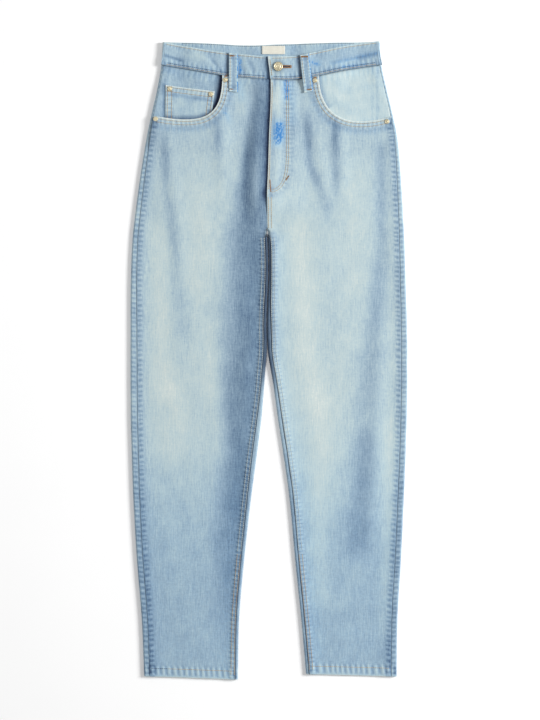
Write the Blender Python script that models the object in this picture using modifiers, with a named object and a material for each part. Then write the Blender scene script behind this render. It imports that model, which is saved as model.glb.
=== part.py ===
"""Relaxed fit jeans laid flat on their back, as cut and sewn pieces.

Metres, +Z up. The waist points to +Y and the wearer's right side to -X, and the underside
rests on Z = 0. The tables and sizes below are in millimetres, x and y from the middle of the
garment, as it is seen from straight above.
"""

import math
from bisect import bisect_right
from collections import namedtuple

import bmesh
import bpy
from mathutils import Matrix

MM = 0.001
NAME = "relaxed_fit_jeans"

# Cloth thicknesses and the gap between neighbours
CLOTH = 1.2
HEM_CLOTH = 2.0
BAND_CLOTH = 2.4
LOOP_CLOTH = 1.8
COIN_CLOTH = 1.0
LABEL_CLOTH = 1.0
TAPE_CLOTH = 0.8
CHAIN_RISE = 1.0
GAP = 0.3
SEAM_GAP = 0.45

# Folded edges of the legs and the slack between front and back
FOLD_RADIUS = 2.8
BAND_FOLD = 3.1
BACK_COLUMNS = 9
WRAP_LENGTH = 24.0
REST_SLACK = 1.0
EDGE_SLACK = 2.4
MOST_SLACK = 3.4
OUTER_REACH = 20.0
INNER_REACH = 16.0
HEM_SLACK = 1.1

# Heights of the main points
CROTCH = 226.0
FLY_END = 282.0
HEM_LEVEL = -536.0
HEM_DEPTH = 14.0
CENTRE_LINE = -3.8
WAIST_LEVEL = 503.0
YOKE_LEVEL = 440.0

# Each leg: its folded outer and inner edge, and how far inside them the two seams lie.
# Above the crotch the inner edge is the centre seam.
Leg = namedtuple("Leg", "y outer inner outseam inseam")
RIGHT_LEG = (
    Leg(y=545, outer=-180.5, inner=-4.0, outseam=3.3, inseam=3.3),
    Leg(y=502, outer=-183.3, inner=-4.0, outseam=3.3, inseam=3.3),
    Leg(y=460, outer=-190.4, inner=-4.0, outseam=3.3, inseam=3.3),
    Leg(y=422, outer=-199.2, inner=-4.0, outseam=3.6, inseam=3.3),
    Leg(y=375, outer=-208.8, inner=-4.0, outseam=5.5, inseam=3.3),
    Leg(y=307, outer=-219.8, inner=-4.0, outseam=7.5, inseam=3.3),
    Leg(y=222, outer=-230.7, inner=-3.4, outseam=8.5, inseam=3.3),
    Leg(y=185, outer=-233.4, inner=-1.6, outseam=9.0, inseam=3.3),
    Leg(y=137, outer=-235.0, inner=-1.5, outseam=9.5, inseam=3.3),
    Leg(y=95, outer=-235.4, inner=-3.4, outseam=10.0, inseam=3.6),
    Leg(y=60, outer=-235.5, inner=-4.2, outseam=10.3, inseam=4.0),
    Leg(y=35, outer=-235.5, inner=-3.6, outseam=10.5, inseam=4.4),
    Leg(y=10, outer=-235.5, inner=-4.0, outseam=10.7, inseam=4.8),
    Leg(y=-16, outer=-235.5, inner=-6.2, outseam=10.9, inseam=5.0),
    Leg(y=-42, outer=-235.5, inner=-8.2, outseam=11.0, inseam=5.0),
    Leg(y=-67, outer=-235.3, inner=-10.2, outseam=11.0, inseam=5.6),
    Leg(y=-101, outer=-235.0, inner=-13.2, outseam=11.0, inseam=6.8),
    Leg(y=-169, outer=-233.2, inner=-22.0, outseam=11.0, inseam=7.0),
    Leg(y=-237, outer=-230.7, inner=-31.0, outseam=10.5, inseam=5.6),
    Leg(y=-339, outer=-224.7, inner=-42.5, outseam=10.0, inseam=4.6),
    Leg(y=-441, outer=-216.4, inner=-51.2, outseam=9.5, inseam=4.0),
    Leg(y=-545, outer=-212.0, inner=-53.4, outseam=9.0, inseam=3.6),
)
LEFT_LEG = (
    Leg(y=545, outer=188.0, inner=-3.6, outseam=3.3, inseam=3.3),
    Leg(y=502, outer=191.3, inner=-3.6, outseam=3.3, inseam=3.3),
    Leg(y=460, outer=200.3, inner=-3.6, outseam=3.3, inseam=3.3),
    Leg(y=422, outer=209.4, inner=-3.6, outseam=3.6, inseam=3.3),
    Leg(y=375, outer=218.8, inner=-3.6, outseam=5.0, inseam=3.3),
    Leg(y=307, outer=224.6, inner=-3.6, outseam=6.5, inseam=3.3),
    Leg(y=222, outer=229.4, inner=-2.9, outseam=8.0, inseam=3.3),
    Leg(y=185, outer=231.0, inner=-1.0, outseam=8.5, inseam=3.3),
    Leg(y=137, outer=232.4, inner=-0.9, outseam=9.0, inseam=3.3),
    Leg(y=95, outer=233.8, inner=-2.8, outseam=9.4, inseam=4.5),
    Leg(y=60, outer=234.8, inner=-3.6, outseam=9.8, inseam=6.2),
    Leg(y=35, outer=235.3, inner=-3.0, outseam=10.0, inseam=6.4),
    Leg(y=10, outer=235.4, inner=-1.4, outseam=10.0, inseam=6.0),
    Leg(y=-16, outer=235.4, inner=3.0, outseam=10.0, inseam=5.8),
    Leg(y=-42, outer=235.4, inner=7.6, outseam=10.0, inseam=5.6),
    Leg(y=-67, outer=235.0, inner=11.0, outseam=10.0, inseam=5.8),
    Leg(y=-101, outer=234.2, inner=15.6, outseam=10.0, inseam=6.2),
    Leg(y=-169, outer=232.0, inner=26.0, outseam=10.0, inseam=6.0),
    Leg(y=-237, outer=229.2, inner=35.2, outseam=10.0, inseam=5.8),
    Leg(y=-339, outer=224.4, inner=44.6, outseam=10.0, inseam=5.2),
    Leg(y=-441, outer=218.3, inner=54.9, outseam=9.5, inseam=4.6),
    Leg(y=-545, outer=217.0, inner=64.0, outseam=9.0, inseam=4.4),
)
# How much lower than HEM_LEVEL the hem is at the outer and at the inner edge
HemDrop = namedtuple("HemDrop", "outer inner")
RIGHT_HEM = HemDrop(outer=1.0, inner=6.8)
LEFT_HEM = HemDrop(outer=1.6, inner=-2.6)
HEM_SLANT_START = -380.0

# Waistband: top edge and lower seam of the front, and top edge of the back
FrontWaist = namedtuple("FrontWaist", "x top seam")
FRONT_WAIST = (
    FrontWaist(x=-184, top=542.0, seam=502.6),
    FrontWaist(x=-145, top=534.7, seam=496.2),
    FrontWaist(x=-84, top=524.6, seam=485.8),
    FrontWaist(x=-40, top=520.2, seam=481.0),
    FrontWaist(x=-3, top=516.4, seam=478.2),
    FrontWaist(x=28, top=516.6, seam=476.6),
    FrontWaist(x=52, top=518.6, seam=478.6),
    FrontWaist(x=86, top=526.0, seam=485.0),
    FrontWaist(x=134, top=535.6, seam=494.6),
    FrontWaist(x=191, top=543.4, seam=502.8),
)
BackWaist = namedtuple("BackWaist", "x top")
BACK_WAIST = (
    BackWaist(x=-184, top=542.1),
    BackWaist(x=-115, top=539.8),
    BackWaist(x=-32, top=536.0),
    BackWaist(x=14, top=537.6),
    BackWaist(x=78, top=539.8),
    BackWaist(x=152, top=541.6),
    BackWaist(x=191, top=542.3),
)
BAND_HEIGHT = 39.5
BAND_ROWS = (0.0, 0.5, 1.0)
FRONT_BAND = (520.0, 482.0)
BACK_BAND = (540.0, 502.0)
BAND_REST = 0.8
BAND_OVER = 3.5
UNDERLAP_END = 34.0

# Visible edge of the fly overlap, which closes to the wearer's left over the right
FlyEdge = namedtuple("FlyEdge", "y x")
FLY_EDGE = (
    FlyEdge(y=518, x=-1.9),
    FlyEdge(y=476, x=2.7),
    FlyEdge(y=431, x=2.4),
    FlyEdge(y=386, x=0.2),
    FlyEdge(y=325, x=-1.6),
    FlyEdge(y=FLY_END, x=-3.5),
    FlyEdge(y=240, x=-3.6),
)
FLY_UNDER = 3.0
# Lift of the left front over shield and zip, by the distance from the fly edge
FlyLift = namedtuple("FlyLift", "across lift")
FLY_LIFT = (
    FlyLift(across=-5, lift=5.0),
    FlyLift(across=14, lift=5.0),
    FlyLift(across=26, lift=3.2),
    FlyLift(across=42, lift=2.0),
    FlyLift(across=70, lift=0.0),
)
FLY_COLUMNS = (0.0, 3.5, 8.0, 14.0, 26.0, 42.0, 56.0, 70.0)
RIGHT_FLY_LIFT = 2.7
SHIELD = (-8.0, 38.0)
ZIP_COLUMNS = (-6.0, 4.0, 5.0, 11.0, 12.0, 20.0)
ZIP_HEIGHTS = (470.0, 456.0, 450.0, 420.0, 390.0, 360.0, 330.0, 300.0)
SHIELD_TOP = 470.0
SLIDER_PLACE = (8.0, 462.0)
SLIDER_SIZE = (8.5, 11.0, 1.9)
TAB_SIZE = (5.0, 18.0, 0.8)
TAB_REACH = 12.0

# Pocket mouths: cubic Bezier points from the waist seam to the outseam
RIGHT_MOUTH = ((-79.4, 486.5), (-78.2, 412.3), (-108.8, 398.7), (-201.0, 416.4))
LEFT_MOUTH = ((84.4, 484.8), (86.5, 412.0), (134.0, 392.6), (209.0, 415.2))
MOUTH_SAMPLES = 14
# Facings: a rounded quarter from the outseam corner at the waist
FACING_WIDTH = 132.0
FACING_DEPTH = 112.0
FACING_POWER = 3.0
FACING_SHARE = 0.97

# Coin pocket corners, its lower edge hidden under the front
COIN_TOP = ((-175.6, 468.0), (-92.4, 457.2))
COIN_LOW = ((-176.4, 394.0), (-101.0, 392.0))

# Back pockets and yoke, hidden under the garment
POCKET_CENTRE = 92.0
POCKET_TOP = 424.0
POCKET_WIDTH = 150.0
POCKET_HEIGHT = 160.0
POCKET_POINT = 22.0
YOKE_CENTRE_DEPTH = 66.0
YOKE_SIDE_DEPTH = 40.0

# Belt loops: middle of the top and of the bottom
LoopPlace = namedtuple("LoopPlace", "name top_x low_x")
FRONT_LOOPS = (
    LoopPlace("loop_front_right", -60.4, -60.4),
    LoopPlace("loop_front_left", 60.0, 67.2),
)
BACK_LOOPS = (
    LoopPlace("loop_back_right", CENTRE_LINE - 98, CENTRE_LINE - 98),
    LoopPlace("loop_back_centre", CENTRE_LINE, CENTRE_LINE),
    LoopPlace("loop_back_left", CENTRE_LINE + 98, CENTRE_LINE + 98),
)
LOOP_WIDTH = 15.0
LOOP_LENGTH = 65.0
LOOP_BOW = 1.0

# Folds that run down the fronts: the line of each crest, its half width and height
Fold = namedtuple("Fold", "x1 y1 x2 y2 width height")
FOLDS = (
    Fold(x1=-172, y1=400, x2=-150, y2=160, width=14, height=1.0),
    Fold(x1=-84, y1=420, x2=-80, y2=285, width=13, height=1.0),
    Fold(x1=-24, y1=400, x2=-16, y2=150, width=14, height=1.4),
    Fold(x1=-20, y1=80, x2=-42, y2=-30, width=13, height=1.2),
    Fold(x1=-34, y1=-40, x2=-40, y2=-220, width=13, height=1.2),
    Fold(x1=76, y1=396, x2=98, y2=280, width=13, height=1.2),
    Fold(x1=122, y1=384, x2=124, y2=290, width=12, height=1.0),
    Fold(x1=208, y1=385, x2=210, y2=150, width=15, height=1.0),
    Fold(x1=190, y1=60, x2=172, y2=-300, width=16, height=1.2),
)

# Hard pieces
BUTTON_PLACE = (15.6, 499.0)
BUTTON_RADIUS = 8.3
SHANK_RADIUS = 3.0
EYELET_RADIUS = 3.6
SLIT_END = 35.7
SLIT_WIDTH = 1.6
CUTTER_HEIGHT = 8.0
CUTTER_BELOW = 0.15
RIVET_RADIUS = 4.2
RivetPlace = namedtuple("RivetPlace", "name x y on")
RIVETS = (
    RivetPlace("rivet_mouth_right_waist", -74.4, 476.6, "front"),
    RivetPlace("rivet_mouth_right_side", -192.6, 410.2, "front"),
    RivetPlace("rivet_coin_outer", -168.6, 461.6, "coin"),
    RivetPlace("rivet_coin_inner", -98.6, 452.6, "coin"),
    RivetPlace("rivet_mouth_left_waist", 78.0, 475.8, "front"),
    RivetPlace("rivet_mouth_left_side", 200.4, 406.0, "front"),
)
LABEL = (-11.8, 27.2, 520.8, 535.0)

Finish = namedtuple("Finish", "color roughness metallic")
DENIM = Finish((0.36, 0.50, 0.64), 0.85, 0.0)
PALE_GOLD = Finish((0.80, 0.74, 0.60), 0.35, 1.0)
STEEL = Finish((0.62, 0.62, 0.62), 0.4, 1.0)
WOVEN = Finish((0.86, 0.85, 0.80), 0.8, 0.0)
TAPE = Finish((0.40, 0.50, 0.60), 0.8, 0.0)


def mix(a, b, t):
    return a + (b - a) * t


def spread(a, b, count):
    return [mix(a, b, i / (count - 1)) for i in range(count)]


def step(value, low, high):
    """0 at low and 1 at high, with a smooth rise between."""
    t = min(max((value - low) / (high - low), 0.0), 1.0)
    return t * t * (3 - 2 * t)


def plateau(distance, flat, fade):
    """1 up to flat, then a smooth fall to 0 over fade."""
    return 1 - step(distance, flat, flat + fade)


def through(table, key, column):
    """A smooth function through one column of a table, level beyond its ends."""
    rows = sorted(table, key=lambda row: getattr(row, key))
    xs = [getattr(row, key) for row in rows]
    ys = [getattr(row, column) for row in rows]
    last = len(xs) - 1
    slopes = [
        (ys[min(i + 1, last)] - ys[max(i - 1, 0)]) / (xs[min(i + 1, last)] - xs[max(i - 1, 0)])
        for i in range(last + 1)
    ]

    def value(x):
        x = min(max(x, xs[0]), xs[-1])
        i = min(bisect_right(xs, x) - 1, last - 1)
        span = xs[i + 1] - xs[i]
        t = (x - xs[i]) / span
        keep = 2 * t**3 - 3 * t**2 + 1
        start = (t**3 - 2 * t**2 + t) * span * slopes[i]
        end = (t**3 - t**2) * span * slopes[i + 1]
        return keep * ys[i] + (1 - keep) * ys[i + 1] + start + end

    return value


class Side:
    """One half of the jeans: the functions that give its edges and seams at a height."""

    def __init__(self, table, hem, inward):
        self.outer = through(table, "y", "outer")
        self.inner = through(table, "y", "inner")
        self.outseam_inset = through(table, "y", "outseam")
        self.inseam_inset = through(table, "y", "inseam")
        self.hem = hem
        self.inward = inward

    def outseam(self, y):
        return self.outer(y) + self.inward * self.outseam_inset(y)

    def inseam(self, y):
        return self.inner(y) - self.inward * self.inseam_inset(y)

    def from_outer(self, x, y):
        return (x - self.outer(y)) * self.inward

    def from_inner(self, x, y):
        return (self.inner(y) - x) * self.inward

    def drop(self, y, across):
        """How far a point near the hem is lowered, so that the hem slants as it lies."""
        share = step(y, HEM_SLANT_START, HEM_LEVEL)
        return share * mix(self.hem.outer, self.hem.inner, across)


RIGHT = Side(RIGHT_LEG, RIGHT_HEM, 1)
LEFT = Side(LEFT_LEG, LEFT_HEM, -1)

front_top = through(FRONT_WAIST, "x", "top")
front_seam = through(FRONT_WAIST, "x", "seam")
back_top = through(BACK_WAIST, "x", "top")
fly_edge = through(FLY_EDGE, "y", "x")
fly_lift = through(FLY_LIFT, "across", "lift")


def back_seam(x):
    return back_top(x) - BAND_HEIGHT


def yoke_seam(x):
    """The lower edge of the yoke, deepest at the centre back."""
    out = min(abs(x - CENTRE_LINE) / 185.0, 1.0)
    return back_seam(x) - mix(YOKE_CENTRE_DEPTH, YOKE_SIDE_DEPTH, out)


def raised(x, y):
    """How far the back lies above the surface, over its own pockets and belt loops."""
    most = 0.0
    for centre in (CENTRE_LINE - POCKET_CENTRE, CENTRE_LINE + POCKET_CENTRE):
        across = plateau(abs(x - centre), POCKET_WIDTH / 2 + 9, 42)
        middle = POCKET_TOP - POCKET_HEIGHT / 2
        along = plateau(abs(y - middle), POCKET_HEIGHT / 2 + 20, 50)
        most = max(most, (CLOTH + GAP) * across * along)
    for place in BACK_LOOPS:
        across = plateau(abs(x - place.top_x), LOOP_WIDTH / 2 + 10, 40)
        along = step(y, 405, 458)
        most = max(most, (LOOP_CLOTH + GAP) * across * along)
    return most


def fold_height(x, y):
    """The crests of the soft folds, each fading at its ends."""
    total = 0.0
    for fold in FOLDS:
        dx, dy = fold.x2 - fold.x1, fold.y2 - fold.y1
        length = math.hypot(dx, dy)
        along = ((x - fold.x1) * dx + (y - fold.y1) * dy) / length
        away = ((x - fold.x1) * dy - (y - fold.y1) * dx) / length
        fade = step(along, -35, 35) * (1 - step(along, length - 35, length + 35))
        total += fold.height * fade * math.exp(-((away / fold.width) ** 2))
    return total


def slack(side, x, y):
    """The space between the back and the front panel."""
    value = REST_SLACK + EDGE_SLACK * math.exp(-((side.from_outer(x, y) / OUTER_REACH) ** 2))
    below = 1 - step(y, CROTCH - 26, CROTCH)
    value += below * EDGE_SLACK * math.exp(-((side.from_inner(x, y) / INNER_REACH) ** 2))
    beside_fly = step(abs(x - CENTRE_LINE), 60, 100)
    value += 0.9 * beside_fly * step(y, 425, 470)
    value += HEM_SLACK * (1 - step(y, HEM_LEVEL + 24, HEM_LEVEL + 90))
    return min(value + fold_height(x, y), MOST_SLACK)


def base(side, x, y):
    """The underside of whatever lies straight on the back panel."""
    return raised(x, y) + CLOTH + slack(side, x, y)


def facing_reach(side, x, y):
    """1 on the facing's hidden rounded edge, less inside it and more beyond."""
    across = max((x - side.outseam(y)) * side.inward, 0.0) / FACING_WIDTH
    down = max(front_seam(x) - y, 0.0) / FACING_DEPTH
    return (across**FACING_POWER + down**FACING_POWER) ** (1 / FACING_POWER)


def coin_share(x, y):
    """1 over the coin pocket and a margin round it, fading to 0."""
    middle_x = (COIN_TOP[0][0] + COIN_TOP[1][0]) / 2
    half_x = (COIN_TOP[1][0] - COIN_TOP[0][0]) / 2
    middle_y = (COIN_TOP[0][1] + COIN_LOW[1][1]) / 2
    half_y = (COIN_TOP[0][1] - COIN_LOW[1][1]) / 2
    return plateau(abs(x - middle_x), half_x + 12, 26) * plateau(abs(y - middle_y), half_y + 12, 30)


def front_lift(side, x, y):
    """How far the front panel is lifted off its base by what lies under it."""
    lift = (CLOTH + GAP) * plateau(facing_reach(side, x, y), 1.13, 0.28)
    if side is RIGHT:
        lift += (COIN_CLOTH + GAP + 0.1) * coin_share(x, y)
    over_fly = step(y, FLY_END - 50, FLY_END - 8)
    across = x - fly_edge(y)
    if side is LEFT:
        return max(lift, fly_lift(across) * over_fly)
    return max(lift, RIGHT_FLY_LIFT * over_fly * plateau(-across, 16, 26))


def front_under(side, x, y):
    return base(side, x, y) + front_lift(side, x, y)


def band_slack(side, x, y):
    """The space between the back and the front of the waistband."""
    near_fold = math.exp(-((side.from_outer(x, y) / 18) ** 2))
    value = BAND_REST + 2.3 * near_fold
    if side is LEFT:
        value = max(value, mix(BAND_OVER, BAND_REST, step(x, 47, 84)))
    return value


def band_under(side, x, y):
    return raised(x, y) + BAND_CLOTH + band_slack(side, x, y)


def bezier(points, t):
    keep = 1 - t
    weights = (keep**3, 3 * keep**2 * t, 3 * keep * t**2, t**3)
    return tuple(sum(w * p[axis] for w, p in zip(weights, points)) for axis in (0, 1))


def clear_scene():
    for obj in list(bpy.data.objects):
        bpy.data.objects.remove(obj, do_unlink=True)


def collection(name):
    made = bpy.data.collections.new(name)
    bpy.context.scene.collection.children.link(made)
    return made


def finished(name, finish):
    """A Principled material of a sub-part's own."""
    material = bpy.data.materials.new(name)
    material.use_nodes = True
    shader = material.node_tree.nodes["Principled BSDF"]
    shader.inputs["Base Color"].default_value = (*finish.color, 1.0)
    shader.inputs["Roughness"].default_value = finish.roughness
    shader.inputs["Metallic"].default_value = finish.metallic
    material.diffuse_color = (*finish.color, 1.0)
    return material


def add_object(name, mesh, finish, where):
    obj = bpy.data.objects.new(name, mesh)
    where.objects.link(obj)
    mesh.materials.append(finished(name, finish))
    return obj


def loft(name, rows, finish, where):
    """An open surface through rows of (x, y, z) in millimetres, all of the same length."""
    mesh = bpy.data.meshes.new(name)
    form = bmesh.new()
    verts = [[form.verts.new((x * MM, y * MM, z * MM)) for x, y, z in row] for row in rows]
    for above, below in zip(verts, verts[1:]):
        for i in range(len(above) - 1):
            form.faces.new((above[i], below[i], below[i + 1], above[i + 1]))
    form.to_mesh(mesh)
    form.free()
    return add_object(name, mesh, finish, where)


def thicken(obj, thickness, outward, thick_rows=None, thin=None):
    """Gives a surface its wall. thick_rows are the vertices that get the whole thickness."""
    wall = obj.modifiers.new("wall", "SOLIDIFY")
    wall.thickness = thickness * MM
    wall.offset = 1.0 if outward else -1.0
    if thick_rows:
        group = obj.vertex_groups.new(name="thick")
        group.add(thick_rows, 1.0, "REPLACE")
        wall.vertex_group = "thick"
        wall.thickness_vertex_group = thin / thickness
    return obj


def fold_path(side, y, z_top):
    """The outer fold from its top to its bottom, as (x, z)."""
    x0 = side.outer(y) + side.inward * FOLD_RADIUS
    points = []
    for i in range(5):
        angle = math.pi / 2 - math.pi * i / 4
        x = x0 - side.inward * FOLD_RADIUS * math.cos(angle)
        points.append((x, z_top / 2 + z_top / 2 * math.sin(angle)))
    return points


def back_row(side, y):
    """One row of the back panel or yoke, from the outseam round both folds to the inseam.

    Above the crotch the row ends flat on the centre seam. Below it the row turns up round
    the inner fold, further and further, until it reaches the inseam on the front.
    """
    def top(x):
        return base(side, x, y) + CLOTH

    seam = side.outseam(y)
    tangent = side.outer(y) + side.inward * FOLD_RADIUS
    row = [(seam, top(seam))]
    row += fold_path(side, y, top(tangent))

    turn = 1 - step(y, CROTCH - 12, CROTCH - 2)
    reach = 1 - step(y, CROTCH - 20, CROTCH - 6)
    radius = FOLD_RADIUS * turn
    flat_end = side.inner(y) - side.inward * radius
    crest = top(flat_end) if turn > 0 else 2 * CLOTH
    strip = max(side.inseam_inset(y) - radius, 0.0) * turn
    arc = math.pi * FOLD_RADIUS * turn
    wrap = (arc + strip) * reach
    group = max(wrap, WRAP_LENGTH)
    for i in range(1, BACK_COLUMNS):
        x = mix(tangent, flat_end + side.inward * (wrap - group), i / (BACK_COLUMNS - 1))
        row.append((x, raised(x, y)))
    for i in range(1, 7):
        part = 1.0 if i == 6 else i / 5 * arc / max(arc + strip, 1.0)
        part = mix(i / 6, part, turn)
        run = wrap - group + group * part
        if run <= 0 or arc == 0:
            x = flat_end + side.inward * min(run, 0.0)
            row.append((x, raised(x, y)))
        elif run < arc:
            angle = math.pi * run / arc
            x = flat_end + side.inward * radius * math.sin(angle)
            row.append((x, crest / 2 - crest / 2 * math.cos(angle)))
        else:
            x = flat_end - side.inward * (run - arc)
            row.append((x, top(x)))
    return row


def across_share(side, x, y):
    return min(max(side.from_outer(x, y) / abs(side.inner(y) - side.outer(y)), 0.0), 1.0)


def laid_back(side, row, level):
    """Row points in space. level gives the height of a point from its x."""
    placed = []
    for x, z in row:
        y = level(x)
        placed.append((x, y - side.drop(y, across_share(side, x, y)), z))
    return placed if side is LEFT else placed[::-1]


def leg_levels():
    """The heights of the rows that front and back share below the crotch."""
    levels = [CROTCH - 22, CROTCH - 40, *spread(CROTCH - 75, HEM_SLANT_START, 14)]
    levels += spread(HEM_SLANT_START - 40, HEM_LEVEL + HEM_DEPTH + 2, 4)
    return levels + [HEM_LEVEL + HEM_DEPTH, HEM_LEVEL]


def sloped_back_row(side, level):
    """A back row above the crotch whose height follows a slanted seam."""
    seam_y = level(side.outer(YOKE_LEVEL))
    row = []
    for x, z in back_row(side, seam_y):
        turned_up = z > raised(x, seam_y) + 1e-6
        row.append((x, z if turned_up else raised(x, level(x))))
    return laid_back(side, row, level)


def hem_points(rows):
    """The numbers of the vertices in the last two rows, where the hem is turned up."""
    width = len(rows[0])
    return list(range(width * (len(rows) - 2), width * len(rows)))


def build_back(side, name, where):
    """The back panel from the yoke seam to the hem."""
    rows = []
    for share in spread(0, 1, 9):
        def level(x, share=share):
            return mix(yoke_seam(x) - GAP, CROTCH + 14, share)
        rows.append(sloped_back_row(side, level))
    for y in [CROTCH + 4, CROTCH - 3, CROTCH - 9, CROTCH - 15, *leg_levels()]:
        rows.append(laid_back(side, back_row(side, y), lambda x, y=y: y))
    panel = loft(name, rows, DENIM, where)
    return thicken(panel, HEM_CLOTH, False, hem_points(rows), CLOTH)


def build_yoke(side, name, where):
    rows = []
    for share in spread(0, 1, 5):
        def level(x, share=share):
            return mix(back_seam(x) - SEAM_GAP, yoke_seam(x), share)
        rows.append(sloped_back_row(side, level))
    return thicken(loft(name, rows, DENIM, where), CLOTH, False)


def front_inner(side, y):
    """The inner edge of a front panel: fly edge, centre seam or inseam."""
    below = 1 - step(y, CROTCH - 7, CROTCH)
    edge = side.inner(y) - side.inward * (side.inseam_inset(y) + SEAM_GAP) * below
    if y <= FLY_END - 2:
        return edge
    if side is LEFT:
        return max(edge, fly_edge(y))
    return mix(edge, fly_edge(y) + FLY_UNDER, step(y, FLY_END, FLY_END + 14))


def front_shares(side):
    """How far across a front panel its columns stand, from the outseam to the inner edge."""
    if side is RIGHT:
        return spread(0, 0.86, 11) + [0.91, 0.955, 1.0]
    seam = front_seam(CENTRE_LINE)
    width = side.outseam(seam) - fly_edge(seam)
    near_fly = [1 - across / width for across in reversed(FLY_COLUMNS)]
    return spread(0, near_fly[0], 9)[:-1] + near_fly


def build_front(side, name, mouth, where, cutters):
    """The front panel, with the pocket mouth cut out of its upper outer corner."""
    levels = spread(WAIST_LEVEL, FLY_END + 16, 11) + [FLY_END + 6, FLY_END - 3, FLY_END - 14]
    levels += [CROTCH + 26, CROTCH + 10, CROTCH, CROTCH - 7, *leg_levels()]
    rows = []
    for level in levels:
        row = []
        fade = step(level, FLY_END + 30, WAIST_LEVEL)
        for share in front_shares(side):
            x = mix(side.outseam(level) + side.inward * SEAM_GAP, front_inner(side, level), share)
            y = level + (front_seam(x) - GAP - WAIST_LEVEL) * fade
            x = mix(side.outseam(y) + side.inward * SEAM_GAP, front_inner(side, y), share)
            z = front_under(side, x, y) + CLOTH
            row.append((x, y - side.drop(y, across_share(side, x, y)), z))
        rows.append(row if side is RIGHT else row[::-1])
    panel = loft(name, rows, DENIM, where)
    thicken(panel, HEM_CLOTH, False, hem_points(rows), CLOTH)
    curve = [bezier(mouth, i / MOUTH_SAMPLES) for i in range(MOUTH_SAMPLES + 1)]
    out = -side.inward
    first, last = curve[0], curve[-1]
    outline = [(first[0], first[1] + 60), *curve, (last[0] + out * 40, last[1] - 2)]
    outline.append((last[0] + out * 40, first[1] + 60))
    cutter = prism(name + "_mouth", outline, -2.0, 20.0, cutters)
    cut = panel.modifiers.new("mouth", "BOOLEAN")
    cut.operation = "DIFFERENCE"
    cut.solver = "EXACT"
    cut.object = cutter
    return panel


def prism(name, outline, low, high, where):
    """A closed upright block of the given outline, used as a cutter."""
    mesh = bpy.data.meshes.new(name)
    form = bmesh.new()
    face = form.faces.new([form.verts.new((x * MM, y * MM, low * MM)) for x, y in outline])
    grown = bmesh.ops.extrude_face_region(form, geom=[face])
    raised_verts = [item for item in grown["geom"] if isinstance(item, bmesh.types.BMVert)]
    bmesh.ops.translate(form, verts=raised_verts, vec=(0, 0, (high - low) * MM))
    bmesh.ops.recalc_face_normals(form, faces=form.faces)
    form.to_mesh(mesh)
    form.free()
    obj = bpy.data.objects.new(name, mesh)
    where.objects.link(obj)
    obj.hide_render = True
    obj.display_type = "WIRE"
    return obj


def build_facing(side, name, where):
    rows = []
    for down in spread(0, 1, 8):
        row = []
        for across in spread(0, FACING_SHARE, 9):
            depth = FACING_DEPTH * (1 - across**FACING_POWER) ** (1 / FACING_POWER)
            x = side.outseam(WAIST_LEVEL) + side.inward * (GAP + across * FACING_WIDTH)
            y = front_seam(x) - GAP - depth * down
            x = side.outseam(y) + side.inward * (GAP + across * FACING_WIDTH)
            row.append((x, y, base(side, x, y)))
        rows.append(row if side is RIGHT else row[::-1])
    return thicken(loft(name, rows, DENIM, where), CLOTH, True)


def coin_under(x, y):
    return base(RIGHT, x, y) + CLOTH + GAP


def build_coin_pocket(where):
    rows = []
    for down in spread(0, 1, 6):
        row = []
        for across in spread(0, 1, 7):
            top = [mix(COIN_TOP[0][axis], COIN_TOP[1][axis], across) for axis in (0, 1)]
            low = [mix(COIN_LOW[0][axis], COIN_LOW[1][axis], across) for axis in (0, 1)]
            x, y = mix(top[0], low[0], down), mix(top[1], low[1], down)
            row.append((x, y, coin_under(x, y)))
        rows.append(row)
    return thicken(loft("coin_pocket", rows, DENIM, where), COIN_CLOTH, True)


def build_back_pocket(side, name, where):
    """A five-sided patch that lies on the surface, under the raised part of the back."""
    centre = CENTRE_LINE - side.inward * POCKET_CENTRE
    half, low_half = POCKET_WIDTH / 2, POCKET_WIDTH / 2 - 8
    bottom = POCKET_TOP - POCKET_HEIGHT
    outline = [(-half, POCKET_TOP), (-low_half, bottom + POCKET_POINT), (0, bottom)]
    outline += [(low_half, bottom + POCKET_POINT), (half, POCKET_TOP)]
    mesh = bpy.data.meshes.new(name)
    form = bmesh.new()
    form.faces.new([form.verts.new(((centre + x) * MM, y * MM, 0)) for x, y in outline])
    form.to_mesh(mesh)
    form.free()
    return thicken(add_object(name, mesh, DENIM, where), CLOTH, True)


def build_shield(where):
    """The fly shield, under the closed zip."""
    rows = []
    for y in spread(SHIELD_TOP, FLY_END + 6, 11):
        edge = fly_edge(y)
        far = mix(10, SHIELD[1], step(y, FLY_END, FLY_END + 55))
        row = []
        for share in spread(0, 1, 6):
            x = mix(edge + SHIELD[0], edge + far, share)
            row.append((x, y, base(LEFT if x > edge else RIGHT, x, y)))
        rows.append(row)
    return thicken(loft("fly_shield", rows, DENIM, where), CLOTH, True)


def build_zip(where):
    """Closed zip tape with its row of teeth as one ridge, which ends under the slider."""
    rows = []
    for y in ZIP_HEIGHTS:
        row = []
        for across in ZIP_COLUMNS:
            x = fly_edge(y) + across
            row.append((x, y, base(LEFT if across > 0 else RIGHT, x, y) + CLOTH + GAP))
        rows.append(row)
    width = len(ZIP_COLUMNS)
    ridge = [row * width + column for row in range(2, len(rows)) for column in (2, 3)]
    tape = loft("zip", rows, TAPE, where)
    return thicken(tape, TAPE_CLOTH + CHAIN_RISE, True, ridge, TAPE_CLOTH)


def block(name, centre, size, finish, where):
    bpy.ops.mesh.primitive_cube_add(size=1, location=[value * MM for value in centre])
    obj = bpy.context.active_object
    obj.name = name
    obj.data.name = name
    obj.data.transform(obj.matrix_world @ scaling(size))
    obj.matrix_world.identity()
    for owner in list(obj.users_collection):
        owner.objects.unlink(obj)
    where.objects.link(obj)
    if finish:
        obj.data.materials.append(finished(name, finish))
    return obj


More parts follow.
